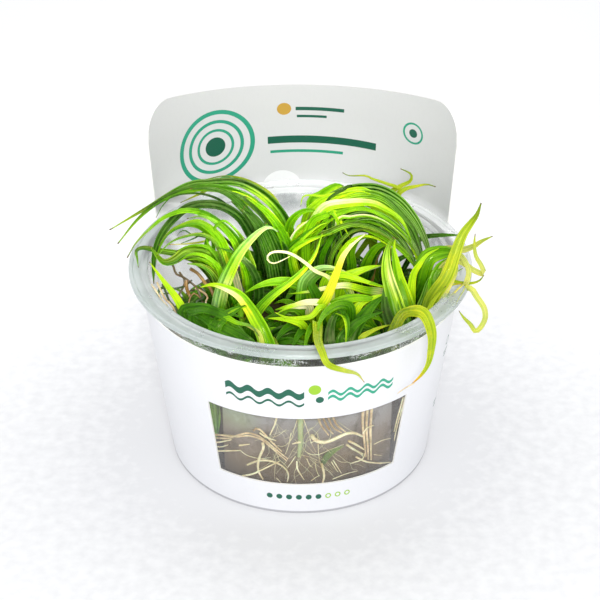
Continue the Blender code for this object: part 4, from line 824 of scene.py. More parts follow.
# Roots and dead strands that stand in or lie on the gel: radius, finish and route
LOOSE_STRANDS = [
    (0.45, "dark_strand", [(-36, -10, 38), (-39.5, -8, 46), (-40, -5, 52), (-38, -4, 53.5),
                           (-36.5, -5, 53.5), (-35, -5, 53.5), (-33, -4, 53.5), (-32, -3, 53.5),
                           (-30.5, -2, 54.5)]),
    (0.34, "brown_strand", [(-36.5, 0, 60), (-35.5, -1, 58), (-35, -1, 56), (-33, -2, 55.5),
                            (-31.5, -3, 55), (-30, -3, 53.5), (-28.5, -5, 52.5), (-26, -8, 45),
                            (-24, -10, 38)]),
    (0.5, "rust_strand", [(-31, 0, 57), (-29, 0, 55.5), (-27.5, -1, 54), (-26.5, -2, 53),
                          (-25, -4, 52.5), (-23, -6, 46), (-22, -7, 38)]),
    (0.5, "rust_strand", [(-32, -3, 55), (-32, -4, 53.5), (-31.5, -4, 51.5), (-30.5, -5, 50),
                          (-29.5, -6, 49), (-28, -8, 44), (-27, -9, 38)]),
    (0.3, "brown_strand", [(-34, -1, 56.5), (-32.5, -3, 55), (-33, -4, 53), (-34, -5, 51.5),
                           (-33, -7, 50), (-31.5, -9, 44), (-30, -10, 38)]),
    (0.26, "root", [(-41.5, -6, 55.5), (-40, -8, 54.5), (-38.5, -10, 53), (-36.5, -12, 51.5),
                    (-33, -13, 44), (-31, -13, 38)]),
    (0.3, "root", [(-40, -5, 55.5), (-39, -7, 54.5), (-37.5, -9, 52.5), (-35.5, -11, 51.5),
                   (-32.5, -12, 44), (-30.5, -12, 38)]),
    (0.34, "dark_strand", [(-38.5, -5, 55), (-37.5, -7, 53.5), (-36.5, -9, 52), (-34.5, -11, 50.5),
                           (-32, -12, 44), (-30, -12.5, 38)]),
    (0.3, "root", [(-29.5, -4, 53), (-27.5, -5, 52.5), (-26, -6, 51.5), (-26.5, -8, 50.5),
                   (-27, -9, 44), (-27, -9.5, 38)]),
    (0.4, "dark_strand", [(-28.5, -3, 53.5), (-27, -4, 52), (-27.5, -6, 50.5), (-29, -7, 50.5),
                          (-29.5, -8.5, 44), (-29, -9, 38)]),
    (0.35, "root", [(-25, -9, 38), (-28, -11, 42), (-31, -9, 45), (-33, -6, 46)]),
    (0.35, "pale_root", [(-24, -11, 38), (-26, -14, 41), (-25, -17, 42), (-22, -18, 41)]),
    (0.35, "root", [(-3.5, -3.5, 40), (-1.5, -6, 39.5), (0.5, -5.5, 40), (2.5, -8, 39.5),
                    (3.5, -13, 40)]),
    (0.3, "pale_root", [(-3, -10.5, 39), (-1, -9, 40), (0.5, -10.5, 39.5), (0, -13, 39)]),
    (0.3, "dark_strand", [(-28, -8, 42), (-31, -5, 47), (-33.5, -4, 50), (-36.5, -5, 52),
                          (-38.5, -7, 53)]),
    (0.26, "rust_strand", [(-24, -7, 40), (-26, -8, 46), (-27.5, -6, 50), (-30, -5, 52),
                           (-31.5, -7, 49), (-31, -9, 45)]),
    (0.24, "root", [(-23, -9, 40), (-24, -12, 44), (-26, -12, 47), (-28, -10, 48.5), (-29, -8, 46)]),
    (0.16, "root", [(30, -40, 46), (27.5, -41, 45), (25.5, -42, 44)]),
    (0.45, "rust_strand", [(20, 13, 38), (21, 11, 47), (22, 9, 55), (24, 8, 60)]),
]


def wall_outer(z):
    """Radius of the cup's outer face at a height."""
    return FOOT_RADIUS + CUP_SLOPE * z


def wall_inner(z):
    """Radius of the cup's inner face at a height."""
    return wall_outer(z) - WALL


def turned(angle, radius, z):
    """A point at an angle in degrees from the front, growing towards +X."""
    a = math.radians(angle)
    return Vector((radius * math.sin(a), -radius * math.cos(a), z))


def spread(start, end, count):
    """Evenly spaced values from the start up to the end, without the end."""
    return [start + (end - start) * i / count for i in range(count)]


def smooth_route(points, step):
    """Evenly spaced points on a Catmull-Rom curve through the given ones."""
    p = [Vector(q) for q in points]
    p = [2 * p[0] - p[1]] + p + [2 * p[-1] - p[-2]]
    fine = []
    for i in range(1, len(p) - 2):
        for k in range(16):
            t = k / 16
            fine.append(0.5 * (2 * p[i] + (p[i + 1] - p[i - 1]) * t
                               + (2 * p[i - 1] - 5 * p[i] + 4 * p[i + 1] - p[i + 2]) * t * t
                               + (3 * p[i] - p[i - 1] - 3 * p[i + 1] + p[i + 2]) * t ** 3))
    fine.append(p[-2])
    along = [0.0]
    for a, b in zip(fine, fine[1:]):
        along.append(along[-1] + (b - a).length)
    count = max(6, round(along[-1] / step))
    route = []
    j = 0
    for i in range(count + 1):
        want = along[-1] * i / count
        while j < len(along) - 2 and along[j + 1] < want:
            j += 1
        share = (want - along[j]) / max(along[j + 1] - along[j], 1e-9)
        route.append(fine[j].lerp(fine[j + 1], min(share, 1.0)))
    return route


def add_piece(name, bm, finishes, stands_for=None, smooth_angle=40):
    """Turns a bmesh in millimetres into a piece in metres that rides on the cup."""
    bmesh.ops.scale(bm, vec=(MM, MM, MM), verts=bm.verts)
    mesh = bpy.data.meshes.new(name)
    bm.to_mesh(mesh)
    bm.free()
    mesh.shade_smooth()
    if smooth_angle is not None:
        mesh.set_sharp_from_angle(angle=math.radians(smooth_angle))
    for finish in finishes:
        mesh.materials.append(finish)
    piece = bpy.data.objects.new(name, mesh)
    bpy.context.scene.collection.objects.link(piece)
    declare(piece, stands_for)
    return piece


def declare(piece, stands_for=None):
    """Hangs a piece on the root body and hides the imported node that it stands for."""
    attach(piece, "root")
    if stands_for:
        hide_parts(stands_for)


def add_node(tree, kind, inputs=None, **settings):
    """A shader node whose named or numbered inputs are values or other nodes' outputs."""
    made = tree.nodes.new(kind)
    for key, value in settings.items():
        setattr(made, key, value)
    for key, value in (inputs or {}).items():
        if isinstance(value, bpy.types.NodeSocket):
            tree.links.new(value, made.inputs[key])
        else:
            made.inputs[key].default_value = value
    return made


def sums(tree, how, a, b=0.0, c=0.0):
    """One step of arithmetic between values or outputs."""
    return add_node(tree, "ShaderNodeMath", {0: a, 1: b, 2: c}, operation=how).outputs[0]


def blend_colours(tree, share, a, b, how="MIX"):
    """Mixes two colours; a plain colour is a tuple of red, green and blue."""
    a, b = (v if isinstance(v, bpy.types.NodeSocket) else (*v, 1.0) for v in (a, b))
    mixed = add_node(tree, "ShaderNodeMix", {0: share, 6: a, 7: b}, data_type="RGBA", blend_type=how)
    return mixed.outputs[2]


def ramp(tree, value, stops):
    """Colours at places from 0 to 1."""
    made = add_node(tree, "ShaderNodeValToRGB", {0: value})
    band = made.color_ramp
    while len(band.elements) < len(stops):
        band.elements.new(1.0)
    for element, (place, colour) in zip(band.elements, stops):
        element.position = place
        element.color = (*colour, 1.0)
    return made.outputs[0]


def fit(tree, value, low, high, to_low=0.0, to_high=1.0):
    """Maps a value's range to another range and holds it there."""
    mapped = add_node(tree, "ShaderNodeMapRange", {0: value, 1: low, 2: high, 3: to_low, 4: to_high})
    return mapped.outputs[0]


def object_place(tree):
    """The place of a point in the object's own space, in metres: its x, y and z."""
    place = add_node(tree, "ShaderNodeTexCoord").outputs["Object"]
    return add_node(tree, "ShaderNodeSeparateXYZ", {0: place}).outputs[:3]


def object_noise(tree, scale, detail=2.0, rough=0.5, stretch=(1.0, 1.0, 1.0)):
    """Noise in the object's own space, with a scale per metre."""
    place = add_node(tree, "ShaderNodeTexCoord").outputs["Object"]
    sized = add_node(tree, "ShaderNodeMapping", {0: place, 3: stretch})
    made = add_node(tree, "ShaderNodeTexNoise", {0: sized.outputs[0], 2: scale, 3: detail, 4: rough})
    return made.outputs[0]


def new_finish(name, colour=(0.8, 0.8, 0.8), roughness=0.5, **values):
    """A material with its Principled shader, whose uniform values sit on the shader's own sockets."""
    finish = bpy.data.materials.new(name)
    finish.use_nodes = True
    tree = finish.node_tree
    shader = tree.nodes["Principled BSDF"]
    shader.inputs["Base Color"].default_value = (*colour, 1.0)
    shader.inputs["Roughness"].default_value = roughness
    for key, value in values.items():
        shader.inputs[key.replace("_", " ")].default_value = value
    return finish, tree, shader


def connect(tree, shader, colour=None, roughness=None, height=None, strength=0.5, depth=0.0001):
    """Joins a colour, a roughness and a bump height to the shader."""
    if colour is not None:
        tree.links.new(colour, shader.inputs["Base Color"])
    if roughness is not None:
        tree.links.new(roughness, shader.inputs["Roughness"])
    if height is not None:
        bump = add_node(tree, "ShaderNodeBump", {"Strength": strength, "Distance": depth, "Height": height})
        tree.links.new(bump.outputs[0], shader.inputs["Normal"])


def tinted(tree, colour, tint):
    """A colour times a tint."""
    return blend_colours(tree, 1.0, colour, tint, "MULTIPLY")


def tint_where(tree, colour, share, tint):
    """Tints a colour as far as a share from 0 to 1 says."""
    return blend_colours(tree, share, colour, tinted(tree, colour, tint))


def leaf_finish(name, stops, other_half, rib_share):
    """A wet leaf: colour along it, blotches, ribs, fine veins and ridges, glints and a dry tip."""
    finish, tree, shader = new_finish(
        "leaf_" + name, Subsurface_Weight=0.3, Subsurface_Scale=0.0012, Specular_IOR_Level=0.3,
        Specular_Tint=(0.9, 1.0, 0.4, 1.0))
    shader.inputs["Subsurface Radius"].default_value = (0.7, 1.0, 0.15)
    blade = add_node(tree, "ShaderNodeUVMap", uv_map="Blade").outputs[0]
    split = add_node(tree, "ShaderNodeSeparateXYZ", {0: blade})
    across, along = split.outputs[0], split.outputs[1]
    colour = ramp(tree, along, stops)
    # The other half's colours paint a folded blade's lit half and shaded half: painted light and shade,
    # partly the leaf's own two-tone colour.
    if other_half:
        colour = blend_colours(tree, fit(tree, across, 0.4, 0.62), colour, ramp(tree, along, other_half))
    blotch = object_noise(tree, 150.0, 3.0)
    colour = tint_where(tree, colour, fit(tree, blotch, 0.52, 0.68, 0.0, 0.6), (1.6, 1.3, 1.2))
    dark = fit(tree, blotch, 0.47, 0.3, 0.0, 0.8 * rib_share)
    colour = tint_where(tree, colour, dark, (0.35, 0.5, 0.3))
    ribs_place = add_node(tree, "ShaderNodeMapping", {0: blade, 3: (7.0, 1.1, 1.0)})
    ribs = add_node(tree, "ShaderNodeTexNoise", {0: ribs_place.outputs[0], 2: 1.0, 3: 1.0}).outputs[0]
    groove = fit(tree, ribs, 0.5, 0.36, 0.0, 0.9 * rib_share)
    colour = tint_where(tree, colour, groove, (0.3, 0.45, 0.25))
    light = tinted(tree, colour, (1.6, 1.3, 1.3))
    colour = blend_colours(tree, fit(tree, ribs, 0.54, 0.66, 0.0, 0.8), colour, light)
    veins_place = add_node(tree, "ShaderNodeMapping", {0: blade, 3: (26.0, 1.3, 1.0)})
    veins = add_node(tree, "ShaderNodeTexNoise", {0: veins_place.outputs[0], 2: 1.0, 3: 1.5}).outputs[0]
    thin = fit(tree, veins, 0.49, 0.40, 0.0, 0.9 * rib_share)
    colour = tint_where(tree, colour, thin, (0.36, 0.52, 0.3))
    colour = tint_where(tree, colour, fit(tree, veins, 0.56, 0.66, 0.0, 0.7), (1.9, 1.5, 2.4))
    # Stripes across the blade drawn like light and shade on pleats: hollows darkened by painted shade,
    # crests lightened by painted light, partly the leaf's pale veins.
    if name in RIDGES:
        count, depth = RIDGES[name]
        ridge = sums(tree, "COSINE", sums(tree, "MULTIPLY", across, math.tau * count))
        pleat_hollow_painted_shade = fit(tree, ridge, 0.1, -0.9, 0.0, min(depth + 0.3, 0.9))
        colour = tint_where(tree, colour, pleat_hollow_painted_shade, (0.3, 0.4, 0.25))
        pleat_crest_painted_light = blend_colours(tree, 1.0, tinted(tree, colour, (1.3, 1.2, 1.2)), RIDGE_CREST_PAINTED_LIGHT, "ADD")
        colour = blend_colours(tree, fit(tree, ridge, 0.1, 0.9, 0.0, depth), colour, pleat_crest_painted_light)
    from_middle = sums(tree, "ABSOLUTE", sums(tree, "SUBTRACT", across, 0.5))
    midrib = fit(tree, from_middle, 0.03, 0.06, 0.5, 0.0)
    colour = blend_colours(tree, midrib, colour, light)
    rim = fit(tree, from_middle, 0.44, 0.49, 0.0, 0.5)
    colour = blend_colours(tree, rim, colour, light)
    tip = fit(tree, sums(tree, "ADD", along, sums(tree, "MULTIPLY", blotch, 0.03)), 1.0, 1.012)
    colour = blend_colours(tree, tip, colour, BROWN)
    height = sums(tree, "SUBTRACT", sums(tree, "ADD", ribs, sums(tree, "MULTIPLY", veins, 0.4)), midrib)
    wet = object_noise(tree, 330.0, 3.0, 0.6)
    connect(tree, shader, colour, fit(tree, wet, 0.38, 0.62, 0.1, 0.46), height, 0.6, 0.0002)
    return finish


def root_finish(name, pale, dark):
    """A wet root: its paler and its darker colour in patches, with small dark specks."""
    finish, tree, shader = new_finish(
        name, Subsurface_Weight=0.25, Subsurface_Scale=0.0008, Coat_Weight=0.3, Coat_Roughness=0.2)
    patches = object_noise(tree, 220.0, 4.0, 0.6)
    between = tuple((a + b) / 2 for a, b in zip(pale, dark))
    colour = ramp(tree, patches, [(0.3, dark), (0.5, between), (0.68, pale)])
    specks = object_noise(tree, 1600.0, 2.0, 0.6)
    colour = blend_colours(tree, fit(tree, specks, 0.42, 0.3, 0.0, 0.6), colour, dark)
    connect(tree, shader, colour, fit(tree, specks, 0.3, 0.7, 0.3, 0.55), specks, 0.4, 0.0001)
    return finish


def stem_finish():
    """A pale fleshy crown, green above and cream where it is in the gel."""
    finish, tree, shader = new_finish("stem_flesh", Subsurface_Weight=0.3, Subsurface_Scale=0.001)
    height = object_place(tree)[2]
    fibres = object_noise(tree, 900.0, 3.0, 0.6, (1.0, 1.0, 0.15))
    colour = ramp(tree, fit(tree, height, 0.030, 0.044),
                  [(0.0, CREAM), (0.45, PALE), (0.7, LIME), (1.0, GREEN)])
    colour = tint_where(tree, colour, fit(tree, fibres, 0.55, 0.35, 0.0, 0.8), (0.55, 0.65, 0.4))
    connect(tree, shader, colour, fit(tree, fibres, 0.3, 0.7, 0.3, 0.5), fibres, 0.4, 0.0002)
    return finish


def gel_finish():
    """Set culture gel: brown on top, partly painted shade, cloudy grey to brown below, with wisps and
    painted shade at the window's edges.
    """
    finish, tree, shader = new_finish(
        "culture_gel", Transmission_Weight=0.04, IOR=1.34, Specular_IOR_Level=0.25, Coat_Weight=0.12,
        Coat_Roughness=0.06)
    x, y, height = object_place(tree)
    clouds = object_noise(tree, 90.0, 5.0, 0.62)
    wisps = object_noise(tree, 260.0, 4.0, 0.65, (1.0, 1.0, 0.5))
    level = sums(tree, "ADD", height, sums(tree, "MULTIPLY", sums(tree, "SUBTRACT", clouds, 0.5), 0.012))
    colour = ramp(tree, fit(tree, level, *GEL_COLOUR_HEIGHTS), GEL_COLOURS)
    colour = tint_where(tree, colour, fit(tree, wisps, 0.48, 0.32, 0.0, 0.75), GEL_WISP_TINT)
    front = sums(tree, "MULTIPLY", y, -1.0)
    turn = sums(tree, "MULTIPLY", sums(tree, "ARCTAN2", x, front), math.degrees(1.0))
    green = sums(tree, "MULTIPLY", fit(tree, turn, -15.0, -24.0), fit(tree, height, 0.024, 0.029))
    colour = tint_where(tree, colour, sums(tree, "MULTIPLY", green, 0.6), GEL_GREEN_TINT)
    # Painted shade: the gel is darkened along the window's sides and bottom, where the card's cut edges
    # shade it.
    left = fit(tree, sums(tree, "SUBTRACT", turn, sums(tree, "MULTIPLY", height, 140.0)), -37.8, -38.3)
    right = fit(tree, sums(tree, "ADD", turn, sums(tree, "MULTIPLY", height, 200.0)), 46.8, 47.3)
    side = sums(tree, "MAXIMUM", left, right)
    low = fit(tree, height, 0.0092, 0.0082)
    edge = sums(tree, "MULTIPLY", sums(tree, "MAXIMUM", side, low), fit(tree, height, 0.036, 0.035))
    colour = tint_where(tree, colour, edge, GEL_WINDOW_EDGE_SHADE)
    connect(tree, shader, colour, fit(tree, clouds, 0.3, 0.7, 0.12, 0.4), clouds, 0.5, 0.0006)
    return finish


def let_light_in(tree, shader):
    """Lets lamps and the room light what is behind clear plastic."""
    path = add_node(tree, "ShaderNodeLightPath")
    open_way = sums(tree, "MAXIMUM", path.outputs["Is Shadow Ray"], path.outputs["Is Diffuse Ray"])
    clear = add_node(tree, "ShaderNodeBsdfTransparent", {0: (*CLEAR_TINT, 1.0)})
    joined = add_node(tree, "ShaderNodeMixShader", {0: open_way, 1: shader.outputs[0], 2: clear.outputs[0]})
    tree.links.new(joined.outputs[0], tree.nodes["Material Output"].inputs[0])


def cup_finish():
    """Clear moulded plastic with faint flow lines and smears, misted under the rim, where its grey tint is
    painted shade.
    """
    finish, tree, shader = new_finish(
        "clear_plastic", CUP_PLASTIC, 0.05, Transmission_Weight=1.0, IOR=PLASTIC_IOR,
        Specular_IOR_Level=0.13)
    flow = object_noise(tree, 60.0, 2.0, 0.5, (1.0, 1.0, 0.2))
    smears = object_noise(tree, 240.0, 3.0, 0.6)
    height = object_place(tree)[2]
    mist = sums(tree, "MULTIPLY", fit(tree, height, 0.050, 0.054), fit(tree, smears, 0.4, 0.6, 0.4, 1.0))
    # Under the rim the plastic is misted and tinted grey: the haze is real, the grey is painted shade.
    colour = blend_colours(tree, mist, CUP_PLASTIC, CUP_MIST_AND_SHADE)
    rough = sums(tree, "ADD", fit(tree, smears, 0.4, 0.75, 0.0, 0.07), sums(tree, "MULTIPLY", mist, 0.22))
    connect(tree, shader, colour, rough, flow, 0.2, 0.0004)
    let_light_in(tree, shader)
    return finish


def rim_finish():
    """The same plastic where it is thick and milky, in the rim, and whitened behind by painted light."""
    finish, tree, shader = new_finish(
        "milky_plastic", (0.78, 0.83, 0.81), 0.3, Transmission_Weight=0.7, IOR=PLASTIC_IOR,
        Coat_Weight=0.3, Coat_Roughness=0.1)
    haze = object_noise(tree, 120.0, 3.0, 0.6)
    colour = ramp(tree, haze, [(0.35, (0.55, 0.605, 0.59)), (0.65, (0.675, 0.725, 0.71))])
    x, y, _ = object_place(tree)
    # Painted light: the rim is whitened towards the back.
    painted_light_behind = sums(tree, "ADD", sums(tree, "MULTIPLY", x, 0.5), y)
    colour = blend_colours(tree, fit(tree, painted_light_behind, 0.008, 0.034), colour, (0.97, 0.98, 0.98))
    connect(tree, shader, colour, fit(tree, haze, 0.3, 0.7, 0.24, 0.4), haze, 0.15, 0.0003)
    let_light_in(tree, shader)
    return finish


def water_finish():
    """Small water drops that look white together, with a slightly uneven skin."""
    finish, tree, shader = new_finish("water", (1.0, 1.0, 1.0), 0.0, Transmission_Weight=0.6, IOR=1.333)
    skin = object_noise(tree, 900.0, 1.0)
    connect(tree, shader, None, fit(tree, skin, 0.3, 0.7, 0.0, 0.04), skin, 0.1, 0.0001)
    let_light_in(tree, shader)
    return finish


def on_print(tree, centre, half_size):
    """The card's print coordinates, in a shape's own frame where it spans -1 to 1 both ways."""
    place = add_node(tree, "ShaderNodeUVMap", uv_map="Print").outputs[0]
    frame_of = add_node(tree, "ShaderNodeMapping", {0: place, 1: (*centre, 0.0), 3: (*half_size, 1.0)},
                        vector_type="TEXTURE")
    split = add_node(tree, "ShaderNodeSeparateXYZ", {0: frame_of.outputs[0]})
    return split.outputs[0], split.outputs[1]


def printed_box(tree, centre, half_size):
    """A filled rectangle."""
    x, y = on_print(tree, centre, half_size)
    furthest = sums(tree, "MAXIMUM", sums(tree, "ABSOLUTE", x), sums(tree, "ABSOLUTE", y))
    return sums(tree, "LESS_THAN", furthest, 1.0)


def printed_ripple(tree, centre, half_size, waves):
    """A level band that rises and falls in even waves."""
    x, y = on_print(tree, centre, half_size)
    swell = sums(tree, "SINE", sums(tree, "MULTIPLY", x, math.pi * waves))
    swell = sums(tree, "MULTIPLY", swell, RIPPLE_RISE / half_size[1])
    away = sums(tree, "ABSOLUTE", sums(tree, "SUBTRACT", y, swell))
    ends = sums(tree, "LESS_THAN", sums(tree, "ABSOLUTE", x), 1.0)
    return sums(tree, "MULTIPLY", ends, sums(tree, "LESS_THAN", away, 1.0))


def printed_ring(tree, centre, radius, stroke):
    """A ring, or a disc where the stroke is as wide as the radius."""
    x, y = on_print(tree, centre, (radius, radius))
    square = sums(tree, "ADD", sums(tree, "MULTIPLY", x, x), sums(tree, "MULTIPLY", y, y))
    reach = sums(tree, "POWER", square, 0.5)
    outside = sums(tree, "LESS_THAN", reach, 1.0)
    return sums(tree, "MULTIPLY", outside, sums(tree, "GREATER_THAN", reach, 1.0 - stroke / radius))


def printed_in(tree, colour, ink, shapes):
    """Lays the union of some printed shapes over a colour, in one ink."""
    cover = shapes[0]
    for shape in shapes[1:]:
        cover = sums(tree, "MAXIMUM", cover, shape)
    return blend_colours(tree, cover, colour, ink)


def header_place(x, z):
    """Print coordinates of a place on the header, from how far right of its middle and how high it is."""
    return math.pi * PRINT_RADIUS - x * PRINT_RADIUS / HEADER_TOP_RADIUS, z


def card_finish(name, white, print_design=None, glow=False):
    """Coated card: a faint fibre, a soft sheen, slightly uneven ink and a dark foot line of painted shadow.

    Where it glows, light soaks through the sheet from the rim's height down.
    """
    finish, tree, shader = new_finish(name, white, 0.4, Specular_IOR_Level=0.4)
    fibre = object_noise(tree, 1500.0, 3.0, 0.6, (1.0, 1.0, 0.35))
    cloud = object_noise(tree, 30.0, 2.0)
    colour = blend_colours(tree, fit(tree, cloud, 0.35, 0.7), white, tuple(v * 0.975 for v in white))
    if print_design:
        colour = print_design(tree, colour)
    colour = tint_where(tree, colour, fit(tree, fibre, 0.5, 0.75, 0.0, 0.25), (0.93, 0.93, 0.93))
    height = object_place(tree)[2]
    # A dark band at the card's foot: painted shadow where the card meets the floor.
    colour = blend_colours(tree, fit(tree, height, 0.0009, 0.0006, 0.0, 0.85), colour, CARD_FOOT_PAINTED_SHADOW)
    connect(tree, shader, colour, fit(tree, cloud, 0.3, 0.7, 0.34, 0.46), fibre, 0.12, 0.00005)
    if glow:
        shader.inputs["Subsurface Radius"].default_value = (1.0, 1.0, 1.0)
        shader.inputs["Subsurface Scale"].default_value = 12 * CARD * MM
        low = fit(tree, height, CARD_RIM_ROW * MM, (CARD_RIM_ROW + 4.0) * MM, 0.9, 0.0)
        tree.links.new(low, shader.inputs["Subsurface Weight"])
    return finish


def header_design(tree, colour):
    """The header's face: a warm grey ground, paler at its foot by painted light, with an arch cut from its
    foot, rings, discs and bars.
    """
    arch = printed_ring(tree, header_place(-6.0, 57.5), 5.6, 5.6)
    ground = sums(tree, "MULTIPLY", printed_box(tree, (math.pi * PRINT_RADIUS, 77.5), (58.0, 20.5)),
                  sums(tree, "SUBTRACT", 1.0, arch))
    height = object_place(tree)[2]
    # Painted light: the grey ground grows paler towards the header's foot, where the leaves shade it.
    grey = ramp(tree, fit(tree, height, 0.058, 0.082), [(0.0, HEADER_FOOT_PAINTED_LIGHT), (1.0, HEADER_GROUND)])
    colour = blend_colours(tree, ground, colour, grey)
    target = header_place(-27.5, 74.0)
    colour = printed_in(tree, colour, TEAL_INK, [
        printed_ring(tree, target, 11.5, 1.3), printed_ring(tree, target, 8.4, 1.0),
        printed_ring(tree, target, 5.6, 0.8)])
    colour = printed_in(tree, colour, GREEN_INK, [printed_ring(tree, target, 3.0, 3.0)])
    mark = header_place(37.0, 81.0)
    colour = printed_in(tree, colour, TEAL_INK, [printed_ring(tree, mark, 3.3, 0.6)])
    colour = printed_in(tree, colour, GREEN_INK, [printed_ring(tree, mark, 1.3, 1.3)])
    colour = printed_in(tree, colour, AMBER_INK, [printed_ring(tree, header_place(-5.0, 83.0), 1.9, 1.9)])
    colour = printed_in(tree, colour, GREEN_INK, [
        printed_box(tree, header_place(6.0, 83.0), (6.5, 0.55)),
        printed_box(tree, header_place(3.5, 80.6), (4.0, 0.4)),
        printed_box(tree, header_place(7.0, 73.2), (15.0, 1.15))])
    return printed_in(tree, colour, TEAL_INK, [printed_box(tree, header_place(2.0, 69.4), (10.0, 0.45))])


def sleeve_design(tree, colour):
    """The sleeve's front: ripples and two discs over the window, dots under it, small marks beside."""
    middle = math.radians(WINDOW_CENTRE) * PRINT_RADIUS
    colour = printed_in(tree, colour, GREEN_INK, [
        printed_ripple(tree, (middle - 12.6, 44.6), (11.0, 1.1), 4),
        printed_ripple(tree, (middle - 12.6, 41.4), (11.0, 0.4), 4)])
    colour = printed_in(tree, colour, TEAL_INK, [
        printed_ripple(tree, (middle + 14.4, 44.6), (9.6, 0.5), 4),
        printed_ripple(tree, (middle + 14.4, 42.8), (9.6, 0.5), 4)])
    colour = printed_in(tree, colour, LIME_INK, [printed_ring(tree, (middle + 1.2, 46.2), 1.7, 1.7)])
    colour = printed_in(tree, colour, GREEN_INK, [printed_ring(tree, (middle + 2.6, 42.6), 1.1, 1.1)])
    colour = printed_in(tree, colour, GREEN_INK, [
        printed_ring(tree, (middle + DOT_STEP * k, DOT_HEIGHT), DOT_RADIUS, DOT_RADIUS)
        for k in range(-4, 2)])
    colour = printed_in(tree, colour, LIME_INK, [
        printed_ring(tree, (middle + DOT_STEP * k, DOT_HEIGHT), DOT_RADIUS, 0.4) for k in range(2, 5)])
    side = math.radians(72.0) * PRINT_RADIUS
    return printed_in(tree, colour, GREEN_INK, [
        printed_ring(tree, (side, 42.0), 1.5, 0.4), printed_box(tree, (side, 38.6), (2.2, 0.3)),
        printed_box(tree, (side, 37.2), (1.5, 0.3)), printed_box(tree, (side, 20.5), (1.7, 0.3)),
        printed_box(tree, (side, 19.0), (1.1, 0.3))])


def blade_width(share, taper, base_width, full_at):
    """Width along a leaf as a share of its greatest width."""
    base = base_width + (1 - base_width) * min(share / full_at, 1.0)
    tip = max(1 - share ** taper, 0.0) ** 0.9
    return max(base * tip, LEAF_TIP_WIDTH)


def blade_frames(route, face_base, face_tip):
    """For each row of a blade, the way across it and the way it faces, turning smoothly."""
    last = len(route) - 1
    across = []
    for row in range(last + 1):
        ahead = route[min(row + 1, last)] - route[max(row - 1, 0)]
        way = ahead.cross(face_base.lerp(face_tip, row / last)).normalized()
        if across and way.dot(across[-1]) < 0:
            way.negate()
        across.append(way)
    for _ in range(4):
        across = [(across[max(i - 1, 0)] + across[i] * 2 + across[min(i + 1, last)]).normalized()
                  for i in range(last + 1)]
    frames = []
    for row, way in enumerate(across):
        ahead = (route[min(row + 1, last)] - route[max(row - 1, 0)]).normalized()
        way = (way - ahead * way.dot(ahead)).normalized()
        frames.append((way, way.cross(ahead)))
    return frames


def lay_blade(bm, points, width, faces=(FACE_BASE, FACE_TIP), keel=LEAF_KEEL, taper=LEAF_TAPER,
              base=LEAF_BASE_WIDTH, full_at=LEAF_FULL_AT, pleats=0, row=LEAF_ROW, splits=LEAF_SPLITS,
              finish_index=0):
    """Adds one leaf blade to a bmesh: a grid laid along its route, hollowed in the middle and pleated."""
    route = smooth_route(points, row)
    rows = len(route) - 1
    frames = blade_frames(route, *(Vector(f) for f in faces))
    seed = sum(points[0])
    splits = max(splits, pleats * PLEAT_SPLITS)
    blade = bm.loops.layers.uv.get("Blade") or bm.loops.layers.uv.new("Blade")
    made = bmesh.ops.create_grid(bm, x_segments=splits, y_segments=rows, size=1.0)
    for face in {face for vert in made["verts"] for face in vert.link_faces}:
        face.material_index = finish_index
        for loop in face.loops:
            loop[blade].uv = ((loop.vert.co.x + 1) / 2, (loop.vert.co.y + 1) / 2)
    for vert in made["verts"]:
        side = vert.co.x
        share = (vert.co.y + 1) / 2
        way, up = frames[round(share * rows)]
        half = width * blade_width(share, taper, base, full_at) / 2
        wave = noise.noise(Vector((seed, share * rows * row / 7.0, side * 0.8)))
        pleat = PLEAT_DEPTH * math.cos(math.pi * pleats * side) if pleats else 0.0
        lift = keel * (abs(side) ** 1.4 - 0.4) + LEAF_WAVE * wave + pleat
        vert.co = route[round(share * rows)] + way * side * half + up * lift * half
    return made["verts"]


def add_blades(name, bm, blade_finishes, stands_for):
    """Turns a bmesh of flat blades into a piece and gives the blades their thickness."""
    piece = add_piece(name, bm, blade_finishes, stands_for, None)
    thick = piece.modifiers.new("Thickness", "SOLIDIFY")
    thick.thickness = LEAF_THICKNESS * MM
    thick.offset = 0.0


def make_leaf(name, width, finish, points, stands_for=None):
    """One leaf, in its own form where the table names one."""
    bm = bmesh.new()
    lay_blade(bm, points, width, **LEAF_FORMS.get(name, {}))
    add_blades(name + "_blade", bm, [finishes[finish]], stands_for)


def kept_inside(point):
    """Draws a point in towards the axis until it is clear of the wall."""
    flat = Vector((point.x, point.y, 0))
    over = flat.length - (wall_inner(point.z) - CROWN_WALL_GAP)
    return point - flat.normalized() * over if over > 0 else point


def make_crown(name, count, tallest, seed):
    """Short leaves that stand close round a stem and fill the space under the long ones, mostly dark by
    painted shade.
    """
    low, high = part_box(name)
    middle = Vector(((low[0] + high[0]) / 2, (low[1] + high[1]) / 2, 0)) / MM
    chance = random.Random(seed)
    bm = bmesh.new()
    for k in range(count):
        angle = math.tau * (k + chance.random() * 0.8) / count
        out = Vector((math.cos(angle), math.sin(angle), 0))
        reach = chance.uniform(*CROWN_REACH)
        height = chance.uniform(*CROWN_HEIGHT) * tallest
        foot = middle + out * CROWN_FOOT + Vector((0, 0, GEL_TOP + 1.0))
        points = [foot] + [foot + out * reach * far + Vector((0, 0, height * up)) for far, up in CROWN_ARCH]
        lay_blade(bm, [kept_inside(point) for point in points], chance.uniform(*CROWN_WIDTH),
                  keel=0.4, taper=2.0, row=CROWN_ROW, splits=CROWN_SPLITS,
                  finish_index=chance.choice(CROWN_MIX))
    add_blades(name.replace("stem", "crown"), bm, [finishes[key] for key in CROWN_FINISHES], None)


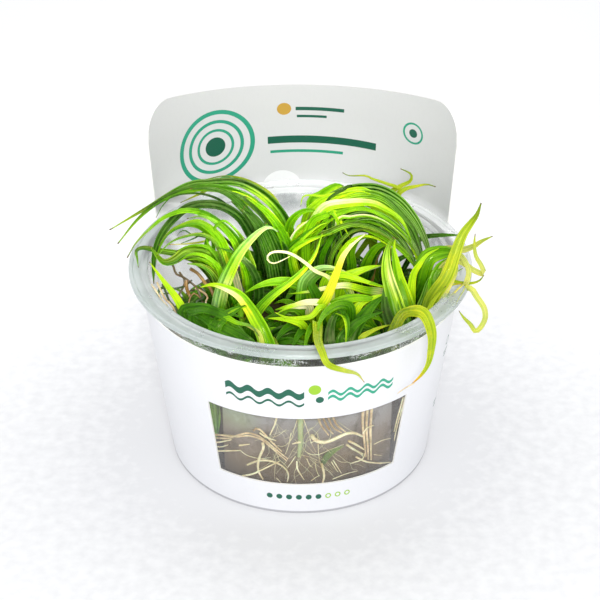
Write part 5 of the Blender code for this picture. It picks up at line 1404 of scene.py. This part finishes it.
def make_roots(name, strands, finish, stands_for=None):
    """Round tapering strands as one piece; each is a radius and a route of points."""
    curve = bpy.data.curves.new(name, "CURVE")
    curve.dimensions = "3D"
    curve.bevel_depth = MM
    curve.bevel_resolution = 2
    curve.use_fill_caps = True
    for radius, points in strands:
        route = smooth_route(points, ROOT_ROW)
        spline = curve.splines.new("POLY")
        spline.points.add(len(route) - 1)
        for k, (point, place) in enumerate(zip(spline.points, route)):
            share = k / (len(route) - 1)
            point.co = (*(place * MM), 1.0)
            point.radius = radius * (1 - ROOT_TAPER * share ** 2) * (1 + 0.12 * noise.noise(place * 0.7))
        spline.use_smooth = True
    curve.materials.append(finish)
    piece = bpy.data.objects.new(name, curve)
    bpy.context.scene.collection.objects.link(piece)
    declare(piece, stands_for)


def make_root_hairs():
    """Hair-fine roots that fan out from the runner and wander down the gap."""
    chance = random.Random(5)
    strands = []
    for _ in range(ROOT_HAIRS):
        angle = chance.gauss(1.0, 9.0)
        z = chance.uniform(*ROOT_HAIR_HEIGHTS)
        lean = chance.uniform(-3.4, 3.4) + angle * 0.1
        strand = []
        for _ in range(chance.randint(4, 7)):
            strand.append((angle, z))
            angle += lean + chance.uniform(-1.2, 1.2)
            z -= chance.uniform(0.8, 3.4)
            if abs(angle) > ROOT_HAIR_LAST_ANGLE or z < ROOT_HAIR_LOWEST:
                break
        if len(strand) > 2:
            radius = ROOT_HAIR_RADIUS * chance.uniform(0.7, 1.6)
            strands.append((radius, against_wall(strand, ROOT_HAIR_GAP)))
    make_roots("root_hairs", strands, finishes["pale_root"])


def against_wall(strand, gap):
    """A route of (angle, height) laid a gap in from the wall."""
    return [turned(angle, wall_inner(z) - gap, z) for angle, z in strand]


def turned_shape(profile, steps):
    """Spins an open profile from axis to axis into a closed bmesh."""
    bm = bmesh.new()
    verts = [bm.verts.new((r, 0.0, z)) for r, z in profile]
    edges = [bm.edges.new(pair) for pair in zip(verts, verts[1:])]
    bmesh.ops.spin(bm, geom=verts + edges, cent=(0, 0, 0), axis=(0, 0, 1), dvec=(0, 0, 0),
                   angle=math.tau, steps=steps, use_merge=True, use_duplicate=False)
    bmesh.ops.remove_doubles(bm, verts=bm.verts, dist=0.001)
    bmesh.ops.recalc_face_normals(bm, faces=bm.faces)
    return bm


def rounded(corner, before, after, radius):
    """Points round a corner of a profile."""
    corner, before, after = Vector(corner), Vector(before), Vector(after)
    start = corner + (before - corner).normalized() * radius
    end = corner + (after - corner).normalized() * radius
    points = []
    for k in range(5):
        t = k / 4
        points.append(tuple(start.lerp(corner, t).lerp(corner.lerp(end, t), t)))
    return points


def rounded_profile(corners):
    """A profile of (radius, height, rounding) corners, with arcs where the rounding isn't zero."""
    profile = []
    for k, (r, z, rounding) in enumerate(corners):
        if rounding:
            profile += rounded((r, z), corners[k - 1][:2], corners[k + 1][:2], rounding)
        else:
            profile.append((r, z))
    return profile


def make_cup():
    """The cup in one wall: foot, tapered side, and a flat ring rim with a step in it and a bead."""
    under = CUP_HEIGHT - RIM_THICKNESS
    ring = CUP_HEIGHT - 0.3
    low_inside, high_inside = RIM_FLARE_INSIDE
    low_outside, high_outside = RIM_FLARE_OUTSIDE
    corners = [
        (0, FLOOR, 0), (wall_inner(FLOOR), FLOOR, 1.2), (wall_inner(low_inside), low_inside, 0.4),
        (MOUTH_RADIUS, high_inside, 0.4), (MOUTH_RADIUS, CUP_HEIGHT - 0.1, 0.35),
        (MOUTH_RADIUS + 1.4, CUP_HEIGHT - 0.1, 0.2), (MOUTH_RADIUS + 1.7, ring, 0.1),
        (RIM_RADIUS - 1.3, ring, 0.1), (RIM_RADIUS - 1.0, CUP_HEIGHT, 0.15),
        (RIM_RADIUS, CUP_HEIGHT, 0.35), (RIM_RADIUS, under, 0.3), (RIM_RADIUS - 0.9, under, 0.2),
        (RIM_RADIUS - 1.1, under + 0.35, 0.1), (wall_outer(high_outside) + 0.2, under + 0.35, 0.2),
        (wall_outer(low_outside), low_outside, 0.2), (wall_outer(0), 0, 0.9), (wall_outer(0) - 3.0, 0, 0.3),
        (wall_outer(0) - 3.6, 0.5, 0.3), (0, 0.5, 0)]
    bm = turned_shape(rounded_profile(corners), CUP_STEPS)
    for face in bm.faces:
        if face.calc_center_median().z > RIM_LOWEST:
            face.material_index = 1
    add_piece("culture_cup", bm, [finishes["cup"], finishes["rim"]], "cup")


def make_gel():
    """Set gel with an uneven top that climbs a little to its rim."""
    floor = FLOOR + GEL_FLOOR_GAP
    edge = wall_inner(GEL_TOP) - GEL_WALL_GAP
    top = [(edge * k / GEL_RINGS, GEL_TOP, 0) for k in range(GEL_RINGS)]
    corners = top + [(edge, GEL_TOP + GEL_EDGE_RISE, 0.4), (wall_inner(floor) - GEL_WALL_GAP, floor, 0.8),
                     (0, floor, 0)]
    bm = turned_shape(rounded_profile(corners), GEL_STEPS)
    for vert in bm.verts:
        if vert.co.z > GEL_TOP - 0.2:
            vert.co.z += 0.35 * noise.noise(vert.co * 0.16) + 0.12 * noise.noise(vert.co * 0.5)
    add_piece("culture_gel", bm, [finishes["gel"]], "gel")


def sleeve_radius(z, angle):
    """Inner radius of the card, which leaves the wall behind to pass outside the rim."""
    close = wall_outer(z) + CARD_GAP
    if z <= HEADER_BEND_START:
        return close
    if z < CARD_RIM_ROW:
        start = wall_outer(HEADER_BEND_START) + CARD_GAP
        share = (z - HEADER_BEND_START) / (CARD_RIM_ROW - HEADER_BEND_START)
        away = start + (HEADER_RIM_RADIUS - start) * share ** HEADER_FLARE
    else:
        share = (z - CARD_RIM_ROW) / (HEADER_TOP - CARD_RIM_ROW)
        away = HEADER_RIM_RADIUS + (HEADER_TOP_RADIUS - HEADER_RIM_RADIUS) * share
    off = min(abs(angle - HEADER_CENTRE), abs(angle + 360 - HEADER_CENTRE)) - HEADER_HALF_ANGLE
    part = min(max(1 - off / HEADER_BLEND_ANGLE, 0.0), 1.0)
    return close + (away - close) * part * part * (3 - 2 * part)


def header_top(angle):
    """Height of the header's upper edge, with raised shoulders and round corners."""
    off = abs(angle - HEADER_CENTRE)
    top = HEADER_TOP + HEADER_SHOULDER_RISE * min(off / HEADER_SHOULDER_ANGLE, 1.0) ** 2
    from_edge = math.radians(HEADER_HALF_ANGLE - off) * HEADER_TOP_RADIUS
    if from_edge < HEADER_CORNER:
        top -= HEADER_CORNER - math.sqrt(max(HEADER_CORNER ** 2 - (HEADER_CORNER - from_edge) ** 2, 0.0))
    return top


def make_sleeve():
    """The card: a grid rolled round the cup, cut away at the window and beside the header."""
    left = WINDOW_CENTRE - WINDOW_HALF_ANGLE
    right = WINDOW_CENTRE + WINDOW_HALF_ANGLE
    header_left = HEADER_CENTRE - HEADER_HALF_ANGLE
    header_right = HEADER_CENTRE + HEADER_HALF_ANGLE
    corner = math.degrees(HEADER_CORNER / HEADER_TOP_RADIUS)
    angles = (spread(left, right, 44) + spread(right, header_left, 40)
              + spread(header_left, header_left + corner, 14)
              + spread(header_left + corner, header_right - corner, 50)
              + spread(header_right - corner, header_right, 14)
              + spread(header_right, left + 360, 40) + [left + 360])
    low = (spread(0.0, WINDOW_BOTTOM, 4) + spread(WINDOW_BOTTOM, WINDOW_TOP, 8)
           + spread(WINDOW_TOP, SLEEVE_TOP, 8) + [SLEEVE_TOP])
    rows = len(low) - 1 + HEADER_ROWS
    bm = bmesh.new()
    bmesh.ops.create_grid(bm, x_segments=len(angles) - 1, y_segments=rows, size=1.0)
    place = {}
    for vert in bm.verts:
        angle = angles[round((vert.co.x + 1) / 2 * (len(angles) - 1))]
        row = round((vert.co.y + 1) / 2 * rows)
        if row < len(low):
            z = low[row]
        else:
            share = (row - len(low) + 1) / HEADER_ROWS
            z = SLEEVE_TOP + (header_top(min(max(angle, header_left), header_right)) - SLEEVE_TOP) * share
        place[vert] = (angle, z)
    cut = []
    for face in bm.faces:
        face_angles = [place[vert][0] for vert in face.verts]
        face_heights = [place[vert][1] for vert in face.verts]
        middle = sum(face_angles) / 4
        height = sum(face_heights) / 4
        in_window = middle < right and WINDOW_BOTTOM < height < WINDOW_TOP
        beside_header = height > SLEEVE_TOP and not header_left < middle < header_right
        if in_window or beside_header:
            cut.append(face)
    for vert, (angle, z) in place.items():
        off = (angle - WINDOW_CENTRE + 180) % 360 - 180
        near = max(1 - abs(abs(off) / WINDOW_HALF_ANGLE - 1), 0.0)
        rise = min(max((z - WINDOW_BOTTOM) / (WINDOW_TOP - WINDOW_BOTTOM), 0.0), 1.0)
        angle += math.copysign(WINDOW_TOP_SPREAD * near * rise, off)
        vert.co = turned(angle, sleeve_radius(z, angle), z)
    bmesh.ops.delete(bm, geom=cut, context="FACES")
    bmesh.ops.remove_doubles(bm, verts=bm.verts, dist=0.001)
    bmesh.ops.recalc_face_normals(bm, faces=bm.faces)
    if sum(face.normal.dot(face.calc_center_median()) for face in bm.faces) > 0:
        bmesh.ops.reverse_faces(bm, faces=bm.faces)
    bmesh.ops.solidify(bm, geom=list(bm.faces), thickness=-CARD)
    bmesh.ops.recalc_face_normals(bm, faces=bm.faces)
    printing = bm.loops.layers.uv.new("Print")
    for face in bm.faces:
        centre = face.calc_center_median() * Vector((1, 1, 0))
        out = face.normal.dot(centre.normalized())
        face.material_index = 2 if abs(out) < 0.8 else 1 if out > 0 else 0
        middle = (math.atan2(centre.x, -centre.y) - math.radians(left)) % math.tau + math.radians(left)
        for loop in face.loops:
            spot = loop.vert.co
            off = (math.atan2(spot.x, -spot.y) - middle + math.pi) % math.tau - math.pi
            loop[printing].uv = ((middle + off) * PRINT_RADIUS, spot.z)
    add_piece("sleeve_and_header", bm,
              [finishes[key] for key in ("card_inside", "card_outside", "card_edge")], "card_sleeve")


def add_drop(bm, place, way_out, radius, flatness):
    """A small round drop that sits on a surface."""
    turn = way_out.to_track_quat("Z", "Y").to_matrix().to_4x4()
    size = Matrix.Diagonal((radius, radius, radius * flatness, 1.0))
    bmesh.ops.create_icosphere(bm, subdivisions=1, radius=1.0,
                               matrix=Matrix.Translation(place) @ turn @ size)


def make_condensation():
    """Fine drops on the inside of the wall, thickest under the rim."""
    chance = random.Random(11)
    for number, (start, end) in enumerate(DROP_STRETCHES):
        bm = bmesh.new()
        for _ in range(round(WALL_DROPS * (end - start))):
            angle = chance.uniform(start, end)
            z = DROPS_TOP - DROPS_BAND * chance.random() ** 1.2
            radius = chance.uniform(*DROP_RADIUS)
            from_cluster = min([abs(angle - middle) / reach for middle, reach in DROP_CLUSTERS] + [1.0])
            if noise.noise(Vector((angle * 0.12, z * 0.4, 3.0))) < 0.42 * from_cluster - 0.3:
                continue
            out = turned(angle, 1.0, 0.0)
            add_drop(bm, turned(angle, wall_inner(z) - 0.02, z), -out, radius, 0.5)
        add_piece(f"condensation_{number + 1}", bm, [finishes["mist"]], None, None)


def make_floor():
    """A wide pale floor with a faint tooth, darker near the cup by painted shade that fades into white
    further out.
    """
    bm = bmesh.new()
    bmesh.ops.create_grid(bm, x_segments=2, y_segments=2, size=FLOOR_SIZE / 2)
    bmesh.ops.scale(bm, vec=(MM, MM, MM), verts=bm.verts)
    mesh = bpy.data.meshes.new("floor")
    bm.to_mesh(mesh)
    bm.free()
    finish, tree, shader = new_finish("floor_paper", FLOOR_NEAR_PAINTED_SHADE, 0.7)
    place = add_node(tree, "ShaderNodeTexCoord").outputs["Object"]
    away = add_node(tree, "ShaderNodeVectorMath", {0: place}, operation="LENGTH").outputs["Value"]
    tooth = fit(tree, object_noise(tree, 300.0, 2.0), 0.3, 0.7, -0.01, 0.01)
    # Painted shade: the floor is darker near the cup and fades to white with the distance.
    share = fit(tree, sums(tree, "ADD", away, tooth), *FLOOR_PAINTED_SHADE_FADE)
    connect(tree, shader, blend_colours(tree, share, FLOOR_NEAR_PAINTED_SHADE, FLOOR_FAR))
    mesh.materials.append(finish)
    floor = bpy.data.objects.new("floor", mesh)
    bpy.context.scene.collection.objects.link(floor)


def make_soft_light(name, place, aim, size, watts, spread_angle):
    """A square soft box that looks at a point."""
    lamp = bpy.data.lights.new(name, "AREA")
    lamp.size = size * MM
    lamp.energy = watts
    lamp.spread = math.radians(spread_angle)
    light = bpy.data.objects.new(name, lamp)
    light.location = Vector(place) * MM
    light.rotation_euler = (Vector(aim) - Vector(place)).to_track_quat("-Z", "Y").to_euler()
    bpy.context.scene.collection.objects.link(light)


def make_camera():
    """The camera, where the photograph was taken from."""
    lens = bpy.data.cameras.new("camera")
    lens.sensor_width = CAMERA_SENSOR
    lens.lens = CAMERA_LENS
    lens.clip_start = 0.01
    camera = bpy.data.objects.new("camera", lens)
    camera.location = Vector(CAMERA_PLACE) * MM
    camera.rotation_euler = (Vector(CAMERA_AIM) - Vector(CAMERA_PLACE)).to_track_quat("-Z", "Y").to_euler()
    bpy.context.scene.collection.objects.link(camera)
    bpy.context.scene.camera = camera


def make_surroundings():
    """White studio air, a soft box above the front, and two narrow spots on the card inside the cup."""
    world = bpy.data.worlds.new("studio")
    world.use_nodes = True
    world.node_tree.nodes["Background"].inputs["Color"].default_value = (*WORLD_COLOUR, 1.0)
    world.node_tree.nodes["Background"].inputs["Strength"].default_value = WORLD_STRENGTH
    bpy.context.scene.world = world
    for light in LIGHTS:
        make_soft_light(*light)
    make_floor()
    bpy.context.scene.view_settings.view_transform = "Standard"
    bpy.context.scene.view_settings.look = "None"


finishes = {key: leaf_finish(key, *look) for key, look in LEAF_FINISHES.items()}
for key, (pale, dark) in ROOT_FINISHES.items():
    finishes[key] = root_finish(key + "_skin", pale, dark)
finishes["stem"] = stem_finish()
finishes["gel"] = gel_finish()
finishes["cup"] = cup_finish()
finishes["rim"] = rim_finish()
finishes["mist"] = water_finish()
finishes["card_inside"] = card_finish("card_inside", CARD_INSIDE_PAINTED_LIGHT, header_design, True)
finishes["card_outside"] = card_finish("card_outside", CARD_WHITE, sleeve_design)
finishes["card_edge"] = card_finish("card_edge", CARD_CORE)

make_camera()
make_surroundings()
make_cup()
make_condensation()
make_sleeve()
make_gel()
for name, width, finish, points in LEAVES:
    make_leaf(name, width, finish, points, name)
for name, width, finish, points in SMALL_LEAVES:
    make_leaf(name, width, finish, points)
for number, (stem, (count, tallest)) in enumerate(CROWNS.items()):
    make_crown(stem, count, tallest, number + 1)
    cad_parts[stem].material_slots[0].material = finishes["stem"]
for name, radius, strands in ROOTS:
    make_roots(name + "_bundle", [(radius, against_wall(strand, GEL_WALL_GAP / 2)) for strand in strands],
               finishes["pale_root" if name in PALE_ROOTS else "root"], name)
make_roots("runner", [(RUNNER[0], against_wall(RUNNER[1], RUNNER_GAP))], finishes["runner"])
for name, width, finish, strand in GAP_BLADES:
    make_leaf(name, width, finish, against_wall(strand, GAP_BLADE_GAP))
make_roots("fine_roots",
           [(radius, against_wall(strand, radius + FINE_ROOT_GAP)) for radius, strand in FINE_ROOTS],
           finishes["pale_root"])
make_root_hairs()
for number, (radius, finish, route) in enumerate(LOOSE_STRANDS):
    make_roots(f"loose_strand_{number + 1}", [(radius, route)], finishes[finish])
